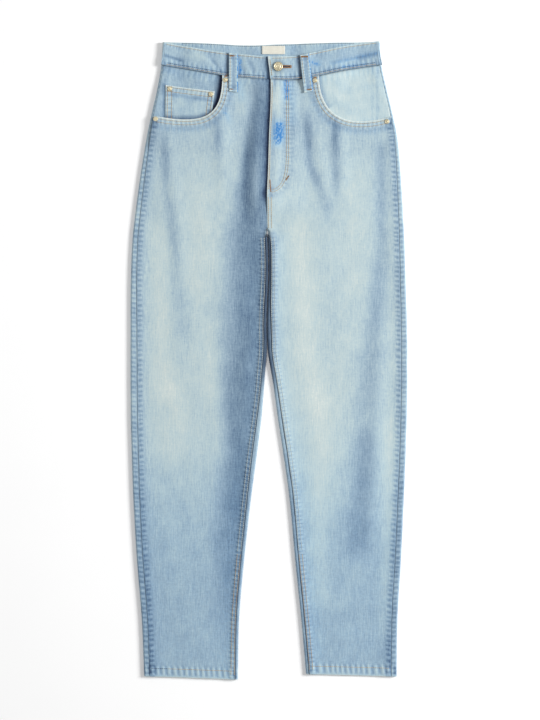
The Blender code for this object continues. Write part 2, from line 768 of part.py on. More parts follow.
def scaling(size):
    """A matrix that scales a unit cube to a size in millimetres."""
    return Matrix.Diagonal((*[value * MM for value in size], 1.0))


def build_slider(where, cutters):
    """The zip's slider with its pull tab lying down along the teeth, under the fly."""
    across, y = SLIDER_PLACE
    x = fly_edge(y) + across
    low = base(LEFT, x, y) + CLOTH + GAP + TAPE_CLOTH + GAP
    body = block("zip_slider", (x, y, low + SLIDER_SIZE[2] / 2), SLIDER_SIZE, STEEL, where)
    tab_middle = low + CHAIN_RISE + 0.05 + TAB_SIZE[2] / 2
    tab = block("tab", (x, y - TAB_REACH, tab_middle), TAB_SIZE, None, cutters)
    tab.hide_render = True
    tab.display_type = "WIRE"
    join = body.modifiers.new("tab", "BOOLEAN")
    join.operation = "UNION"
    join.solver = "EXACT"
    join.object = tab
    return body


def band_tangent(side, y):
    """Where the flat front of the waistband meets its fold at the side."""
    return side.outer(y) + side.inward * BAND_FOLD


def front_band_station(side, end, share):
    """Points down the band's height at one place on the front, from its end to the fold."""
    points = []
    for down in BAND_ROWS:
        level = mix(*FRONT_BAND, down)
        x = mix(end(level), band_tangent(side, level), share)
        y = mix(front_top(x), front_seam(x), down)
        x = mix(end(y), band_tangent(side, y), share)
        y = mix(front_top(x), front_seam(x), down)
        points.append((x, y, band_under(side, x, y) + BAND_CLOTH))
    return points


def folded_band_station(side, angle):
    """Points down the band's height on its fold, from the front at a right angle to the back."""
    near = side.outer(FRONT_BAND[0])
    lift = (1 + math.sin(angle)) / 2
    points = []
    for down in BAND_ROWS:
        y = mix(front_top(near), front_seam(near), down)
        tangent = band_tangent(side, y)
        crest = band_under(side, tangent, y) + BAND_CLOTH
        x = tangent - side.inward * BAND_FOLD * math.cos(angle)
        top = mix(back_top(x), front_top(x), lift)
        low = mix(back_seam(x), front_seam(x), lift)
        points.append((x, mix(top, low, down), crest * lift))
    return points


def back_band_station(share):
    points = []
    for down in BAND_ROWS:
        level = mix(*BACK_BAND, down)
        x = mix(band_tangent(RIGHT, level), band_tangent(LEFT, level), share)
        y = mix(back_top(x), back_seam(x), down)
        points.append((x, y, raised(x, y)))
    return points


def build_waistband(where, cutters):
    """One strip: underlap end, right front, back, left front and overlap end."""
    turn = [math.pi / 2 - math.pi * i / 6 for i in range(1, 6)]
    stations = [front_band_station(RIGHT, lambda y: UNDERLAP_END, share) for share in spread(0, 1, 22)]
    stations += [folded_band_station(RIGHT, angle) for angle in turn]
    stations += [back_band_station(share) for share in spread(0, 1, 38)]
    stations += [folded_band_station(LEFT, angle) for angle in reversed(turn)]
    stations += [front_band_station(LEFT, fly_edge, share) for share in spread(1, 0, 22)]
    band = thicken(loft("waistband", stations, DENIM, where), BAND_CLOTH, False)
    x, y = BUTTON_PLACE
    middle_z = band_under(LEFT, x, y) - CUTTER_BELOW + CUTTER_HEIGHT / 2
    bpy.ops.mesh.primitive_cylinder_add(vertices=16, radius=EYELET_RADIUS * MM, depth=CUTTER_HEIGHT * MM)
    eyelet = bpy.context.active_object
    eyelet.name = "eyelet_cutter"
    eyelet.location = (x * MM, y * MM, middle_z * MM)
    for owner in list(eyelet.users_collection):
        owner.objects.unlink(eyelet)
    cutters.objects.link(eyelet)
    slit_size = (SLIT_END - x, SLIT_WIDTH, CUTTER_HEIGHT)
    slit = block("slit_cutter", ((x + SLIT_END) / 2, y, middle_z), slit_size, None, cutters)
    for cutter in (eyelet, slit):
        cutter.hide_render = True
        cutter.display_type = "WIRE"
        cut = band.modifiers.new(cutter.name, "BOOLEAN")
        cut.operation = "DIFFERENCE"
        cut.solver = "EXACT"
        cut.object = cutter
    return band


def front_loop_under(side, x, y):
    """The underside of a belt loop: on the band, then down over the seam to the panel."""
    seam = front_seam(x)
    on_band = band_under(side, x, max(y, seam)) + BAND_CLOTH
    on_panel = front_under(side, x, min(y, seam)) + CLOTH
    top = front_top(x)
    share = min(max((top - y) / LOOP_LENGTH, 0.0), 1.0)
    bow = LOOP_BOW * math.sin(math.pi * share) ** 2
    over_seam = max(on_band, on_panel)
    if y > seam:
        low = mix(over_seam, on_band, step(y, seam + 6, seam + 14))
    else:
        low = mix(over_seam, on_panel, step(y, seam - 6, seam - 14))
    return low + GAP + bow


def build_front_loop(place, side, where):
    rows = []
    for down in spread(0, 1, 12):
        row = []
        middle = mix(place.top_x, place.low_x, down)
        for across in (-0.5, 0.0, 0.5):
            x = middle + across * LOOP_WIDTH
            y = front_top(x) - 0.5 - LOOP_LENGTH * down
            row.append((x, y, front_loop_under(side, x, y)))
        level = max(z for _, _, z in row)
        rows.append([(x, y, level) for x, y, _ in row])
    return thicken(loft(place.name, rows, DENIM, where), LOOP_CLOTH, True)


def build_back_loop(place, where):
    top = back_top(place.top_x) - 0.5
    centre = (place.top_x, top - LOOP_LENGTH / 2, LOOP_CLOTH / 2)
    return block(place.name, centre, (LOOP_WIDTH, LOOP_LENGTH, LOOP_CLOTH), DENIM, where)


def turned(name, profile, centre, steps, finish, where):
    """A solid of revolution. The profile runs from the top of the axis to its bottom."""
    mesh = bpy.data.meshes.new(name)
    form = bmesh.new()
    verts = [form.verts.new((radius * MM, 0, height * MM)) for radius, height in profile]
    for a, b in zip(verts, verts[1:]):
        form.edges.new((a, b))
    form.to_mesh(mesh)
    form.free()
    obj = add_object(name, mesh, finish, where)
    obj.location = [value * MM for value in centre]
    spin = obj.modifiers.new("turn", "SCREW")
    spin.steps = steps
    spin.render_steps = steps
    spin.use_merge_vertices = True
    spin.merge_threshold = 0.00001
    mesh.shade_smooth()
    return obj


def build_button(where):
    """The shank button: its shank stands on the underlap, in the buttonhole."""
    x, y = BUTTON_PLACE
    foot = band_under(RIGHT, x, y) + BAND_CLOTH + GAP
    head = band_under(LEFT, x, y) + BAND_CLOTH + GAP
    profile = (
        (0.0, head + 2.1),
        (5.9, head + 2.0),
        (6.5, head + 2.4),
        (7.7, head + 2.1),
        (BUTTON_RADIUS, head + 1.1),
        (7.9, head),
        (SHANK_RADIUS, head),
        (SHANK_RADIUS, foot),
        (0.0, foot),
    )
    return turned("button", profile, (x, y, 0), 24, PALE_GOLD, where)


def build_rivet(place, where):
    side = RIGHT if place.x < 0 else LEFT
    spots = [(place.x + dx, place.y + dy) for dx in (-4, 0, 4) for dy in (-4, 0, 4)]
    if place.on == "coin":
        seat = max(coin_under(x, y) + COIN_CLOTH for x, y in spots)
    else:
        seat = max(front_under(side, x, y) + CLOTH for x, y in spots)
    profile = (
        (0.0, 1.9),
        (1.0, 1.8),
        (1.4, 1.0),
        (3.3, 1.15),
        (RIVET_RADIUS, 0.6),
        (RIVET_RADIUS - 0.2, 0.0),
        (0.0, 0.0),
    )
    return turned(place.name, profile, (place.x, place.y, seat + GAP), 14, PALE_GOLD, where)


def build_label(where):
    """The woven label on the inside of the back waistband."""
    left, right, low, high = LABEL
    rows = []
    for y in spread(high, low, 4):
        row = [(x, y, raised(x, y) + BAND_CLOTH + GAP) for x in spread(left, right, 7)]
        rows.append(row)
    return thicken(loft("label", rows, WOVEN, where), LABEL_CLOTH, True)


def main():
    clear_scene()
    parts = collection(NAME)
    cutters = collection("cutters")
    build_back(RIGHT, "back_right", parts)
    build_back(LEFT, "back_left", parts)
    build_yoke(RIGHT, "yoke_right", parts)
    build_yoke(LEFT, "yoke_left", parts)
    build_front(RIGHT, "front_right", RIGHT_MOUTH, parts, cutters)
    build_front(LEFT, "front_left", LEFT_MOUTH, parts, cutters)
    build_facing(RIGHT, "facing_right", parts)
    build_facing(LEFT, "facing_left", parts)
    build_coin_pocket(parts)
    build_back_pocket(RIGHT, "back_pocket_right", parts)
    build_back_pocket(LEFT, "back_pocket_left", parts)
    build_shield(parts)
    build_zip(parts)
    build_slider(parts, cutters)
    build_waistband(parts, cutters)
    for place, side in zip(FRONT_LOOPS, (RIGHT, LEFT)):
        build_front_loop(place, side, parts)
    for place in BACK_LOOPS:
        build_back_loop(place, parts)
    build_button(parts)
    for place in RIVETS:
        build_rivet(place, parts)
    build_label(parts)


main()
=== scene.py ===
"""Relaxed fit jeans laid flat on their back: the finish of every piece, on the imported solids.

Sizes are in millimetres, x and y from the middle of the garment as it is seen from straight
above. The waist points to +Y and the wearer's right side to -X.
"""

from collections import namedtuple

import bpy
import numpy as np
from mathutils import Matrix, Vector


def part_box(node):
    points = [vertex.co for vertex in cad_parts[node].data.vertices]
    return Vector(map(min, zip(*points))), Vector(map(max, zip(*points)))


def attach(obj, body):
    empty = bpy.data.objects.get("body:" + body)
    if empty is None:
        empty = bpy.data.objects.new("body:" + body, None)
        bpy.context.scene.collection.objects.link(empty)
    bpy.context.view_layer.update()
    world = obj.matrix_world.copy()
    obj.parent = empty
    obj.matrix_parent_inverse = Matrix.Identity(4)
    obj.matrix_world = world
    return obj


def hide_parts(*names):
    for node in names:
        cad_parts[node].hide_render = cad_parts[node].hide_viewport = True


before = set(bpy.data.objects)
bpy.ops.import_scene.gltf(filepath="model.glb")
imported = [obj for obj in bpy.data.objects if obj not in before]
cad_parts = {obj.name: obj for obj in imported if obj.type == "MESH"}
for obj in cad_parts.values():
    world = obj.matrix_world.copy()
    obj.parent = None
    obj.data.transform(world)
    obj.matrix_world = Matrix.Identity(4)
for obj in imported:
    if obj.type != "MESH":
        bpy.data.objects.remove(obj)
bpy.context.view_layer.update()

MM = 0.001

# Cloth thicknesses and the gap between neighbours
CLOTH = 1.2
HEM_CLOTH = 2.0
BAND_CLOTH = 2.4
LOOP_CLOTH = 1.8
COIN_CLOTH = 1.0
LABEL_CLOTH = 1.0
GAP = 0.3
SEAM_GAP = 0.45

# Folded edges of the legs and the slack between front and back
FOLD_RADIUS = 2.8
REST_SLACK = 1.0
EDGE_SLACK = 2.4
MOST_SLACK = 3.4
OUTER_REACH = 20.0
INNER_REACH = 16.0
HEM_SLACK = 1.1

# Heights of the main points
CROTCH = 226.0
FLY_END = 282.0
HEM_DEPTH = 14.0
HEM_LEVEL = -536.0
CENTRE_LINE = -3.8
FLY_TOP = 478.0
YOKE_LEVEL = 440.0
WAIST_LEVEL = 502.0

# Each leg: its folded outer and inner edge, and how far inside them the two seams lie.
# Above the crotch the inner edge is the centre seam.
Leg = namedtuple("Leg", "y outer inner outseam inseam")
RIGHT_LEG = (
    Leg(545, -180.5, -4.0, 3.3, 3.3),
    Leg(502, -183.3, -4.0, 3.3, 3.3),
    Leg(460, -190.4, -4.0, 3.3, 3.3),
    Leg(422, -199.2, -4.0, 3.6, 3.3),
    Leg(375, -208.8, -4.0, 5.5, 3.3),
    Leg(307, -219.8, -4.0, 7.5, 3.3),
    Leg(222, -230.7, -3.4, 8.5, 3.3),
    Leg(185, -233.4, -1.6, 9.0, 3.3),
    Leg(137, -235.0, -1.5, 9.5, 3.3),
    Leg(95, -235.4, -3.4, 10.0, 3.6),
    Leg(60, -235.5, -4.2, 10.3, 4.0),
    Leg(35, -235.5, -3.6, 10.5, 4.4),
    Leg(10, -235.5, -4.0, 10.7, 4.8),
    Leg(-16, -235.5, -6.2, 10.9, 5.0),
    Leg(-42, -235.5, -8.2, 11.0, 5.0),
    Leg(-67, -235.3, -10.2, 11.0, 5.6),
    Leg(-101, -235.0, -13.2, 11.0, 6.8),
    Leg(-169, -233.2, -22.0, 11.0, 7.0),
    Leg(-237, -230.7, -31.0, 10.5, 5.6),
    Leg(-339, -224.7, -42.5, 10.0, 4.6),
    Leg(-441, -216.4, -51.2, 9.5, 4.0),
    Leg(-545, -212.0, -53.4, 9.0, 3.6),
)
LEFT_LEG = (
    Leg(545, 188.0, -3.6, 3.3, 3.3),
    Leg(502, 191.3, -3.6, 3.3, 3.3),
    Leg(460, 200.3, -3.6, 3.3, 3.3),
    Leg(422, 209.4, -3.6, 3.6, 3.3),
    Leg(375, 218.8, -3.6, 5.0, 3.3),
    Leg(307, 224.6, -3.6, 6.5, 3.3),
    Leg(222, 229.4, -2.9, 8.0, 3.3),
    Leg(185, 231.0, -1.0, 8.5, 3.3),
    Leg(137, 232.4, -0.9, 9.0, 3.3),
    Leg(95, 233.8, -2.8, 9.4, 4.5),
    Leg(60, 234.8, -3.6, 9.8, 6.2),
    Leg(35, 235.3, -3.0, 10.0, 6.4),
    Leg(10, 235.4, -1.4, 10.0, 6.0),
    Leg(-16, 235.4, 3.0, 10.0, 5.8),
    Leg(-42, 235.4, 7.6, 10.0, 5.6),
    Leg(-67, 235.0, 11.0, 10.0, 5.8),
    Leg(-101, 234.2, 15.6, 10.0, 6.2),
    Leg(-169, 232.0, 26.0, 10.0, 6.0),
    Leg(-237, 229.2, 35.2, 10.0, 5.8),
    Leg(-339, 224.4, 44.6, 10.0, 5.2),
    Leg(-441, 218.3, 54.9, 9.5, 4.6),
    Leg(-545, 217.0, 64.0, 9.0, 4.4),
)
# How much lower than HEM_LEVEL the hem is at the outer and at the inner edge
HemDrop = namedtuple("HemDrop", "outer inner")
RIGHT_HEM = HemDrop(outer=1.0, inner=6.8)
LEFT_HEM = HemDrop(outer=1.6, inner=-2.6)

# Waistband: top edge and lower seam of the front, and top edge of the back
FrontWaist = namedtuple("FrontWaist", "x top seam")
FRONT_WAIST = (
    FrontWaist(-184, 542.0, 502.6),
    FrontWaist(-145, 534.7, 496.2),
    FrontWaist(-84, 524.6, 485.8),
    FrontWaist(-40, 520.2, 481.0),
    FrontWaist(-3, 516.4, 478.2),
    FrontWaist(28, 516.6, 476.6),
    FrontWaist(52, 518.6, 478.6),
    FrontWaist(86, 526.0, 485.0),
    FrontWaist(134, 535.6, 494.6),
    FrontWaist(191, 543.4, 502.8),
)
BackWaist = namedtuple("BackWaist", "x top")
BACK_WAIST = (
    BackWaist(-184, 542.1),
    BackWaist(-115, 539.8),
    BackWaist(-32, 536.0),
    BackWaist(14, 537.6),
    BackWaist(78, 539.8),
    BackWaist(152, 541.6),
    BackWaist(191, 542.3),
)
BAND_HEIGHT = 39.5
BAND_REST = 0.8
BAND_OVER = 3.5
UNDERLAP_END = 34.0

# Visible edge of the fly overlap
FlyEdge = namedtuple("FlyEdge", "y x")
FLY_EDGE = (
    FlyEdge(518, -1.9),
    FlyEdge(476, 2.7),
    FlyEdge(431, 2.4),
    FlyEdge(386, 0.2),
    FlyEdge(325, -1.6),
    FlyEdge(FLY_END, -3.5),
    FlyEdge(240, -3.6),
)
FLY_UNDER = 3.0
FlyLift = namedtuple("FlyLift", "across lift")
FLY_LIFT = (
    FlyLift(-5, 5.0),
    FlyLift(14, 5.0),
    FlyLift(26, 3.2),
    FlyLift(42, 2.0),
    FlyLift(70, 0.0),
)
RIGHT_FLY_LIFT = 2.7

# Pocket mouths: cubic Bezier points from the waist seam to the outseam
RIGHT_MOUTH = ((-79.4, 486.5), (-78.2, 412.3), (-108.8, 398.7), (-201.0, 416.4))
LEFT_MOUTH = ((84.4, 484.8), (86.5, 412.0), (134.0, 392.6), (209.0, 415.2))
FACING_WIDTH = 132.0
FACING_DEPTH = 112.0
FACING_POWER = 3.0
FACING_SHARE = 0.97

# Coin pocket corners, its lower edge hidden under the front
COIN_TOP = ((-175.6, 468.0), (-92.4, 457.2))
COIN_LOW = ((-176.4, 394.0), (-101.0, 392.0))

# Back pockets and yoke, hidden under the garment
POCKET_CENTRE = 92.0
POCKET_TOP = 424.0
POCKET_WIDTH = 150.0
POCKET_HEIGHT = 160.0
POCKET_POINT = 22.0
YOKE_CENTRE_DEPTH = 66.0
YOKE_SIDE_DEPTH = 40.0

# Belt loops: middle of the top and of the bottom
LoopPlace = namedtuple("LoopPlace", "name top_x low_x")
FRONT_LOOPS = (
    LoopPlace("loop_front_right", -60.4, -60.4),
    LoopPlace("loop_front_left", 60.0, 67.2),
)
BACK_LOOPS = (
    LoopPlace("loop_back_right", CENTRE_LINE - 98, CENTRE_LINE - 98),
    LoopPlace("loop_back_centre", CENTRE_LINE, CENTRE_LINE),
    LoopPlace("loop_back_left", CENTRE_LINE + 98, CENTRE_LINE + 98),
)
LOOP_WIDTH = 15.0
LOOP_LENGTH = 65.0
LOOP_BOW = 1.0

# Folds that run down the fronts: the line of each crest, its half width and height
Fold = namedtuple("Fold", "x1 y1 x2 y2 width height")
FOLDS = (
    Fold(-172, 400, -150, 160, 14, 1.0),
    Fold(-84, 420, -80, 285, 13, 1.0),
    Fold(-24, 400, -16, 150, 14, 1.4),
    Fold(-20, 80, -42, -30, 13, 1.2),
    Fold(-34, -40, -40, -220, 13, 1.2),
    Fold(76, 396, 98, 280, 13, 1.2),
    Fold(122, 384, 124, 290, 12, 1.0),
    Fold(208, 385, 210, 150, 15, 1.0),
    Fold(190, 60, 172, -300, 16, 1.2),
)

# Button and rivets
BUTTON_PLACE = (15.6, 499.0)
EYELET_RADIUS = 3.6
SLIT_END = 35.7
LABEL = (-11.8, 27.2, 520.8, 535.0)


def mix(a, b, t):
    return a + (b - a) * t


def step(value, low, high):
    """0 at low and 1 at high, with a smooth rise between."""
    t = np.clip((value - low) / (high - low), 0.0, 1.0)
    return t * t * (3 - 2 * t)


def plateau(distance, flat, fade):
    """1 up to flat, then a smooth fall to 0 over fade."""
    return 1 - step(distance, flat, flat + fade)


def bell(distance, width):
    return np.exp(-((distance / width) ** 2))


def through(table, key, column):
    """A smooth function through one column of a table, level beyond its ends."""
    rows = sorted(table, key=lambda row: getattr(row, key))
    xs = np.array([getattr(row, key) for row in rows], float)
    ys = np.array([getattr(row, column) for row in rows], float)
    last = len(xs) - 1
    after = np.minimum(np.arange(last + 1) + 1, last)
    before = np.maximum(np.arange(last + 1) - 1, 0)
    slopes = (ys[after] - ys[before]) / (xs[after] - xs[before])

    def value(x):
        x = np.clip(x, xs[0], xs[-1])
        i = np.clip(np.searchsorted(xs, x, side="right") - 1, 0, last - 1)
        span = xs[i + 1] - xs[i]
        t = (x - xs[i]) / span
        keep = 2 * t**3 - 3 * t**2 + 1
        start = (t**3 - 2 * t**2 + t) * span * slopes[i]
        end = (t**3 - t**2) * span * slopes[i + 1]
        return keep * ys[i] + (1 - keep) * ys[i + 1] + start + end

    return value


class Side:
    """One half of the jeans: the functions that give its edges and seams at a height."""

    def __init__(self, table, hem, inward, mouth):
        self.outer = through(table, "y", "outer")
        self.inner = through(table, "y", "inner")
        self.outseam_inset = through(table, "y", "outseam")
        self.inseam_inset = through(table, "y", "inseam")
        self.hem = hem
        self.inward = inward
        self.mouth = mouth

    def outseam(self, y):
        return self.outer(y) + self.inward * self.outseam_inset(y)

    def inseam(self, y):
        return self.inner(y) - self.inward * self.inseam_inset(y)

    def from_outer(self, x, y):
        return (x - self.outer(y)) * self.inward

    def from_inner(self, x, y):
        return (self.inner(y) - x) * self.inward

    def drop(self, x, y):
        """How far a point near the hem is lowered, so that the hem slants as it lies."""
        across = np.clip(self.from_outer(x, y) / np.abs(self.inner(y) - self.outer(y)), 0.0, 1.0)
        return step(y, -380, HEM_LEVEL) * mix(self.hem.outer, self.hem.inner, across)


RIGHT = Side(RIGHT_LEG, RIGHT_HEM, 1, RIGHT_MOUTH)
LEFT = Side(LEFT_LEG, LEFT_HEM, -1, LEFT_MOUTH)

front_top = through(FRONT_WAIST, "x", "top")
front_seam = through(FRONT_WAIST, "x", "seam")
back_top = through(BACK_WAIST, "x", "top")
fly_edge = through(FLY_EDGE, "y", "x")
fly_lift = through(FLY_LIFT, "across", "lift")


def back_seam(x):
    return back_top(x) - BAND_HEIGHT


def yoke_seam(x):
    """The lower edge of the yoke, deepest at the centre back."""
    out = np.minimum(np.abs(x - CENTRE_LINE) / 185.0, 1.0)
    return back_seam(x) - mix(YOKE_CENTRE_DEPTH, YOKE_SIDE_DEPTH, out)


def raised(x, y):
    """How far the back lies above the surface, over its own pockets and belt loops."""
    most = np.zeros(np.broadcast(x, y).shape)
    for centre in (CENTRE_LINE - POCKET_CENTRE, CENTRE_LINE + POCKET_CENTRE):
        across = plateau(np.abs(x - centre), POCKET_WIDTH / 2 + 9, 42)
        middle = POCKET_TOP - POCKET_HEIGHT / 2
        along = plateau(np.abs(y - middle), POCKET_HEIGHT / 2 + 20, 50)
        most = np.maximum(most, (CLOTH + GAP) * across * along)
    for place in BACK_LOOPS:
        across = plateau(np.abs(x - place.top_x), LOOP_WIDTH / 2 + 10, 40)
        along = step(y, 405, 458)
        most = np.maximum(most, (LOOP_CLOTH + GAP) * across * along)
    return most


def from_line(line, x, y):
    """Where a point lies along a straight line, how far to its right, and the line's length."""
    dx, dy = line.x2 - line.x1, line.y2 - line.y1
    length = float(np.hypot(dx, dy))
    along = ((x - line.x1) * dx + (y - line.y1) * dy) / length
    away = ((x - line.x1) * dy - (y - line.y1) * dx) / length
    return along, away, length


def on_line(line, x, y, fade):
    """1 on a straight line, falling off across its width and over fade at its ends."""
    along, away, length = from_line(line, x, y)
    ends = step(along, -fade, fade) * (1 - step(along, length - fade, length + fade))
    return ends * bell(away, line.width)


def fold_height(x, y):
    """The crests of the soft folds, each fading at its ends."""
    return sum(fold.height * on_line(fold, x, y, 35) for fold in FOLDS)


def slack(side, x, y):
    """The space between the back and the front panel."""
    value = REST_SLACK + EDGE_SLACK * bell(side.from_outer(x, y), OUTER_REACH)
    below = 1 - step(y, CROTCH - 26, CROTCH)
    value = value + below * EDGE_SLACK * bell(side.from_inner(x, y), INNER_REACH)
    beside_fly = step(np.abs(x - CENTRE_LINE), 60, 100)
    value = value + 0.9 * beside_fly * step(y, 425, 470)
    value = value + HEM_SLACK * (1 - step(y, HEM_LEVEL + 24, HEM_LEVEL + 90))
    return np.minimum(value + fold_height(x, y), MOST_SLACK)


def base(side, x, y):
    """The underside of whatever lies straight on the back panel."""
    return raised(x, y) + CLOTH + slack(side, x, y)


def facing_reach(side, x, y):
    """1 on the facing's hidden rounded edge, less inside it and more beyond."""
    across = np.maximum((x - side.outseam(y)) * side.inward, 0.0) / FACING_WIDTH
    down = np.maximum(front_seam(x) - y, 0.0) / FACING_DEPTH
    return (across**FACING_POWER + down**FACING_POWER) ** (1 / FACING_POWER)


def coin_share(x, y):
    """1 over the coin pocket and a margin round it, fading to 0."""
    middle_x = (COIN_TOP[0][0] + COIN_TOP[1][0]) / 2
    half_x = (COIN_TOP[1][0] - COIN_TOP[0][0]) / 2
    middle_y = (COIN_TOP[0][1] + COIN_LOW[1][1]) / 2
    half_y = (COIN_TOP[0][1] - COIN_LOW[1][1]) / 2
    across = plateau(np.abs(x - middle_x), half_x + 12, 26)
    return across * plateau(np.abs(y - middle_y), half_y + 12, 30)


def front_lift(side, x, y):
    """How far the front panel is lifted off its base by what lies under it."""
    lift = (CLOTH + GAP) * plateau(facing_reach(side, x, y), 1.13, 0.28)
    if side is RIGHT:
        lift = lift + (COIN_CLOTH + GAP + 0.1) * coin_share(x, y)
    over_fly = step(y, FLY_END - 50, FLY_END - 8)
    across = x - fly_edge(y)
    if side is LEFT:
        return np.maximum(lift, fly_lift(across) * over_fly)
    return np.maximum(lift, RIGHT_FLY_LIFT * over_fly * plateau(-across, 16, 26))


def front_under(side, x, y):
    return base(side, x, y) + front_lift(side, x, y)


def band_slack(side, x, y):
    """The space between the back and the front of the waistband."""
    value = BAND_REST + 2.3 * bell(side.from_outer(x, y), 18)
    if side is LEFT:
        value = np.maximum(value, mix(BAND_OVER, BAND_REST, step(x, 47, 84)))
    return value


def band_under(side, x, y):
    return raised(x, y) + BAND_CLOTH + band_slack(side, x, y)


def ripple(x, y, size, seed):
    """Gentle uneven waves about size millimetres long, from about -1 to 1."""
    draw = np.random.default_rng(seed)
    total = 0.0
    for _ in range(6):
        angle, stretch, phase = draw.uniform((0, 0.7, 0), (np.pi, 1.6, 2 * np.pi))
        run = x * np.cos(angle) + y * np.sin(angle)
        total = total + np.sin(2 * np.pi * stretch * run / size + phase)
    return total / 3.2


class Line:
    """A seam, edge or stitch row as a chain of points."""

    def __init__(self, points):
        self.points = np.array(points, float)
        gaps = np.hypot(*np.diff(self.points, axis=0).T)
        self.at = np.concatenate([[0.0], np.cumsum(gaps)])
        self.length = self.at[-1]

    def near(self, x, y):
        """How far points are from the line, and how far along it they lie."""
        starts, ends = self.points[:-1], self.points[1:]
        runs = ends - starts
        squares = np.maximum((runs**2).sum(1), 1e-9)
        best = np.full(np.shape(x), 1e9)
        along = np.zeros(np.shape(x))
        for start, run, square, at in zip(starts, runs, squares, self.at):
            t = np.clip(((x - start[0]) * run[0] + (y - start[1]) * run[1]) / square, 0, 1)
            away = np.hypot(x - start[0] - t * run[0], y - start[1] - t * run[1])
            nearer = away < best
            best = np.where(nearer, away, best)
            along = np.where(nearer, at + t * np.sqrt(square), along)
        return best, along

    def place(self, at):
        """The points at these distances along the line."""
        return np.stack([np.interp(at, self.at, self.points[:, k]) for k in (0, 1)], axis=-1)

    def beside(self, distance):
        """The line moved sideways to the left of its direction."""
        run = np.gradient(self.points, axis=0)
        run /= np.maximum(np.hypot(*run.T)[:, None], 1e-9)
        return Line(self.points + distance * np.stack([-run[:, 1], run[:, 0]], axis=1))


def curve(points, count=60):
    """A cubic Bezier curve as a line."""
    t = np.linspace(0, 1, count)[:, None]
    p = np.array(points, float)
    keep = 1 - t
    return Line(keep**3 * p[0] + 3 * keep**2 * t * p[1] + 3 * keep * t**2 * p[2] + t**3 * p[3])


def down(x_at, top, low, count=120):
    """A line down the garment whose x is a function of its height."""
    y = np.linspace(top, low, count)
    return Line(np.stack([x_at(y) + 0 * y, y], axis=1))


def across(y_at, left, right, count=60):
    """A line across the garment whose y is a function of its x."""
    x = np.linspace(left, right, count)
    return Line(np.stack([x, y_at(x) + 0 * x], axis=1))


def roping(away, along, low, high, pitch, seed):
    """Puckers beside a seam, between two distances from it: the wave and where it shows."""
    wobble = 0.9 * ripple(along, 0 * along, pitch * 7, seed) + 0.3 * away / pitch
    middle, half = (low + high) / 2, (high - low) / 2
    where = plateau(np.abs(away - middle), half * 0.6, half * 0.9)
    return np.sin(2 * np.pi * along / pitch + 2.2 * wobble), where


# Seams and edges that relief, dye and stitches all follow
def front_inner(side, y):
    """The inner edge of a front panel: fly edge, centre seam or inseam."""
    below = 1 - step(y, CROTCH - 7, CROTCH)
    edge = side.inner(y) - side.inward * (side.inseam_inset(y) + SEAM_GAP) * below
    if side is LEFT:
        return np.where(y <= FLY_END - 2, edge, np.maximum(edge, fly_edge(y)))
    under = mix(edge, fly_edge(y) + FLY_UNDER, step(y, FLY_END, FLY_END + 14))
    return np.where(y <= FLY_END - 2, edge, under)


MOUTHS = {side: curve(side.mouth) for side in (RIGHT, LEFT)}
INNER_EDGES = {
    side: down(lambda y, s=side: front_inner(s, y), FLY_TOP, HEM_LEVEL, 240) for side in (RIGHT, LEFT)
}
OUTSEAMS = {side: down(side.outseam, 412, HEM_LEVEL, 120) for side in (RIGHT, LEFT)}
WAIST_SEAM = across(front_seam, -185, 191)
FLY_STITCH = Line([(33.2, FLY_TOP), (33.4, 420), (33.4, 345), (32.0, 325), (28.4, 308), (22.0, 296),
                   (15.0, 289.5), (8.0, 286.5), (1.0, 285.0)])

# Fades and darker bands of the fronts: a line, its half width and the change in wear and painted shade.
# Along the folds the darker bands on the left flanks are partly dye and partly painted shade, and the pale
# lines on the crests partly wear and partly painted highlight.
Tint = namedtuple("Tint", "x1 y1 x2 y2 width amount")
FRONT_TINTS = (
    # wearer's right leg: the side fold, the thigh and the knee
    Tint(-178, 375, -175, 290, 8, -0.19),
    Tint(-170, 276, -158, 166, 10, -0.16),
    Tint(-158, 154, -145, 26, 14, -0.09),
    Tint(-86, 406, -87, 360, 7, -0.20),
    Tint(-38, 358, -39, 247, 6, -0.10),
    Tint(-22, 335, -22, 272, 5, 0.13),
    Tint(-117, 300, -117, 110, 24, 0.08),
    Tint(-187, 240, -184, -60, 17, 0.09),
    Tint(-168, -20, -160, -170, 24, 0.09),
    Tint(-104, 60, -98, -60, 14, 0.06),
    # wearer's left leg: the two short folds under the pocket, the long side fold, the thigh
    Tint(66, 412, 68, 341, 7, -0.27),
    Tint(69, 335, 87, 293, 8, -0.26),
    Tint(88, 288, 103, 240, 10, -0.14),
    Tint(112, 402, 112, 358, 8, -0.34),
    Tint(113, 352, 114, 282, 8, -0.18),
    Tint(190, 370, 191, 178, 11, -0.16),
    Tint(190, 172, 176, 36, 16, -0.19),
    Tint(176, 30, 167, -100, 22, -0.17),
    Tint(166, -110, 157, -235, 22, -0.24),
    Tint(156, -245, 153, -330, 24, -0.20),
    Tint(52, 240, 64, -4, 20, 0.13),
    Tint(68, -10, 92, -118, 22, 0.15),
    Tint(92, -125, 84, -270, 19, 0.12),
    Tint(84, -280, 92, -420, 17, 0.10),
    Tint(145, 350, 144, 110, 20, 0.05),
    Tint(208, -110, 204, -460, 15, 0.12),
    Tint(14, 462, 11, 428, 7, 0.30),
    Tint(48, 412, 40, 380, 14, -0.10),
    Tint(30, 350, 26, 330, 12, -0.05),
)
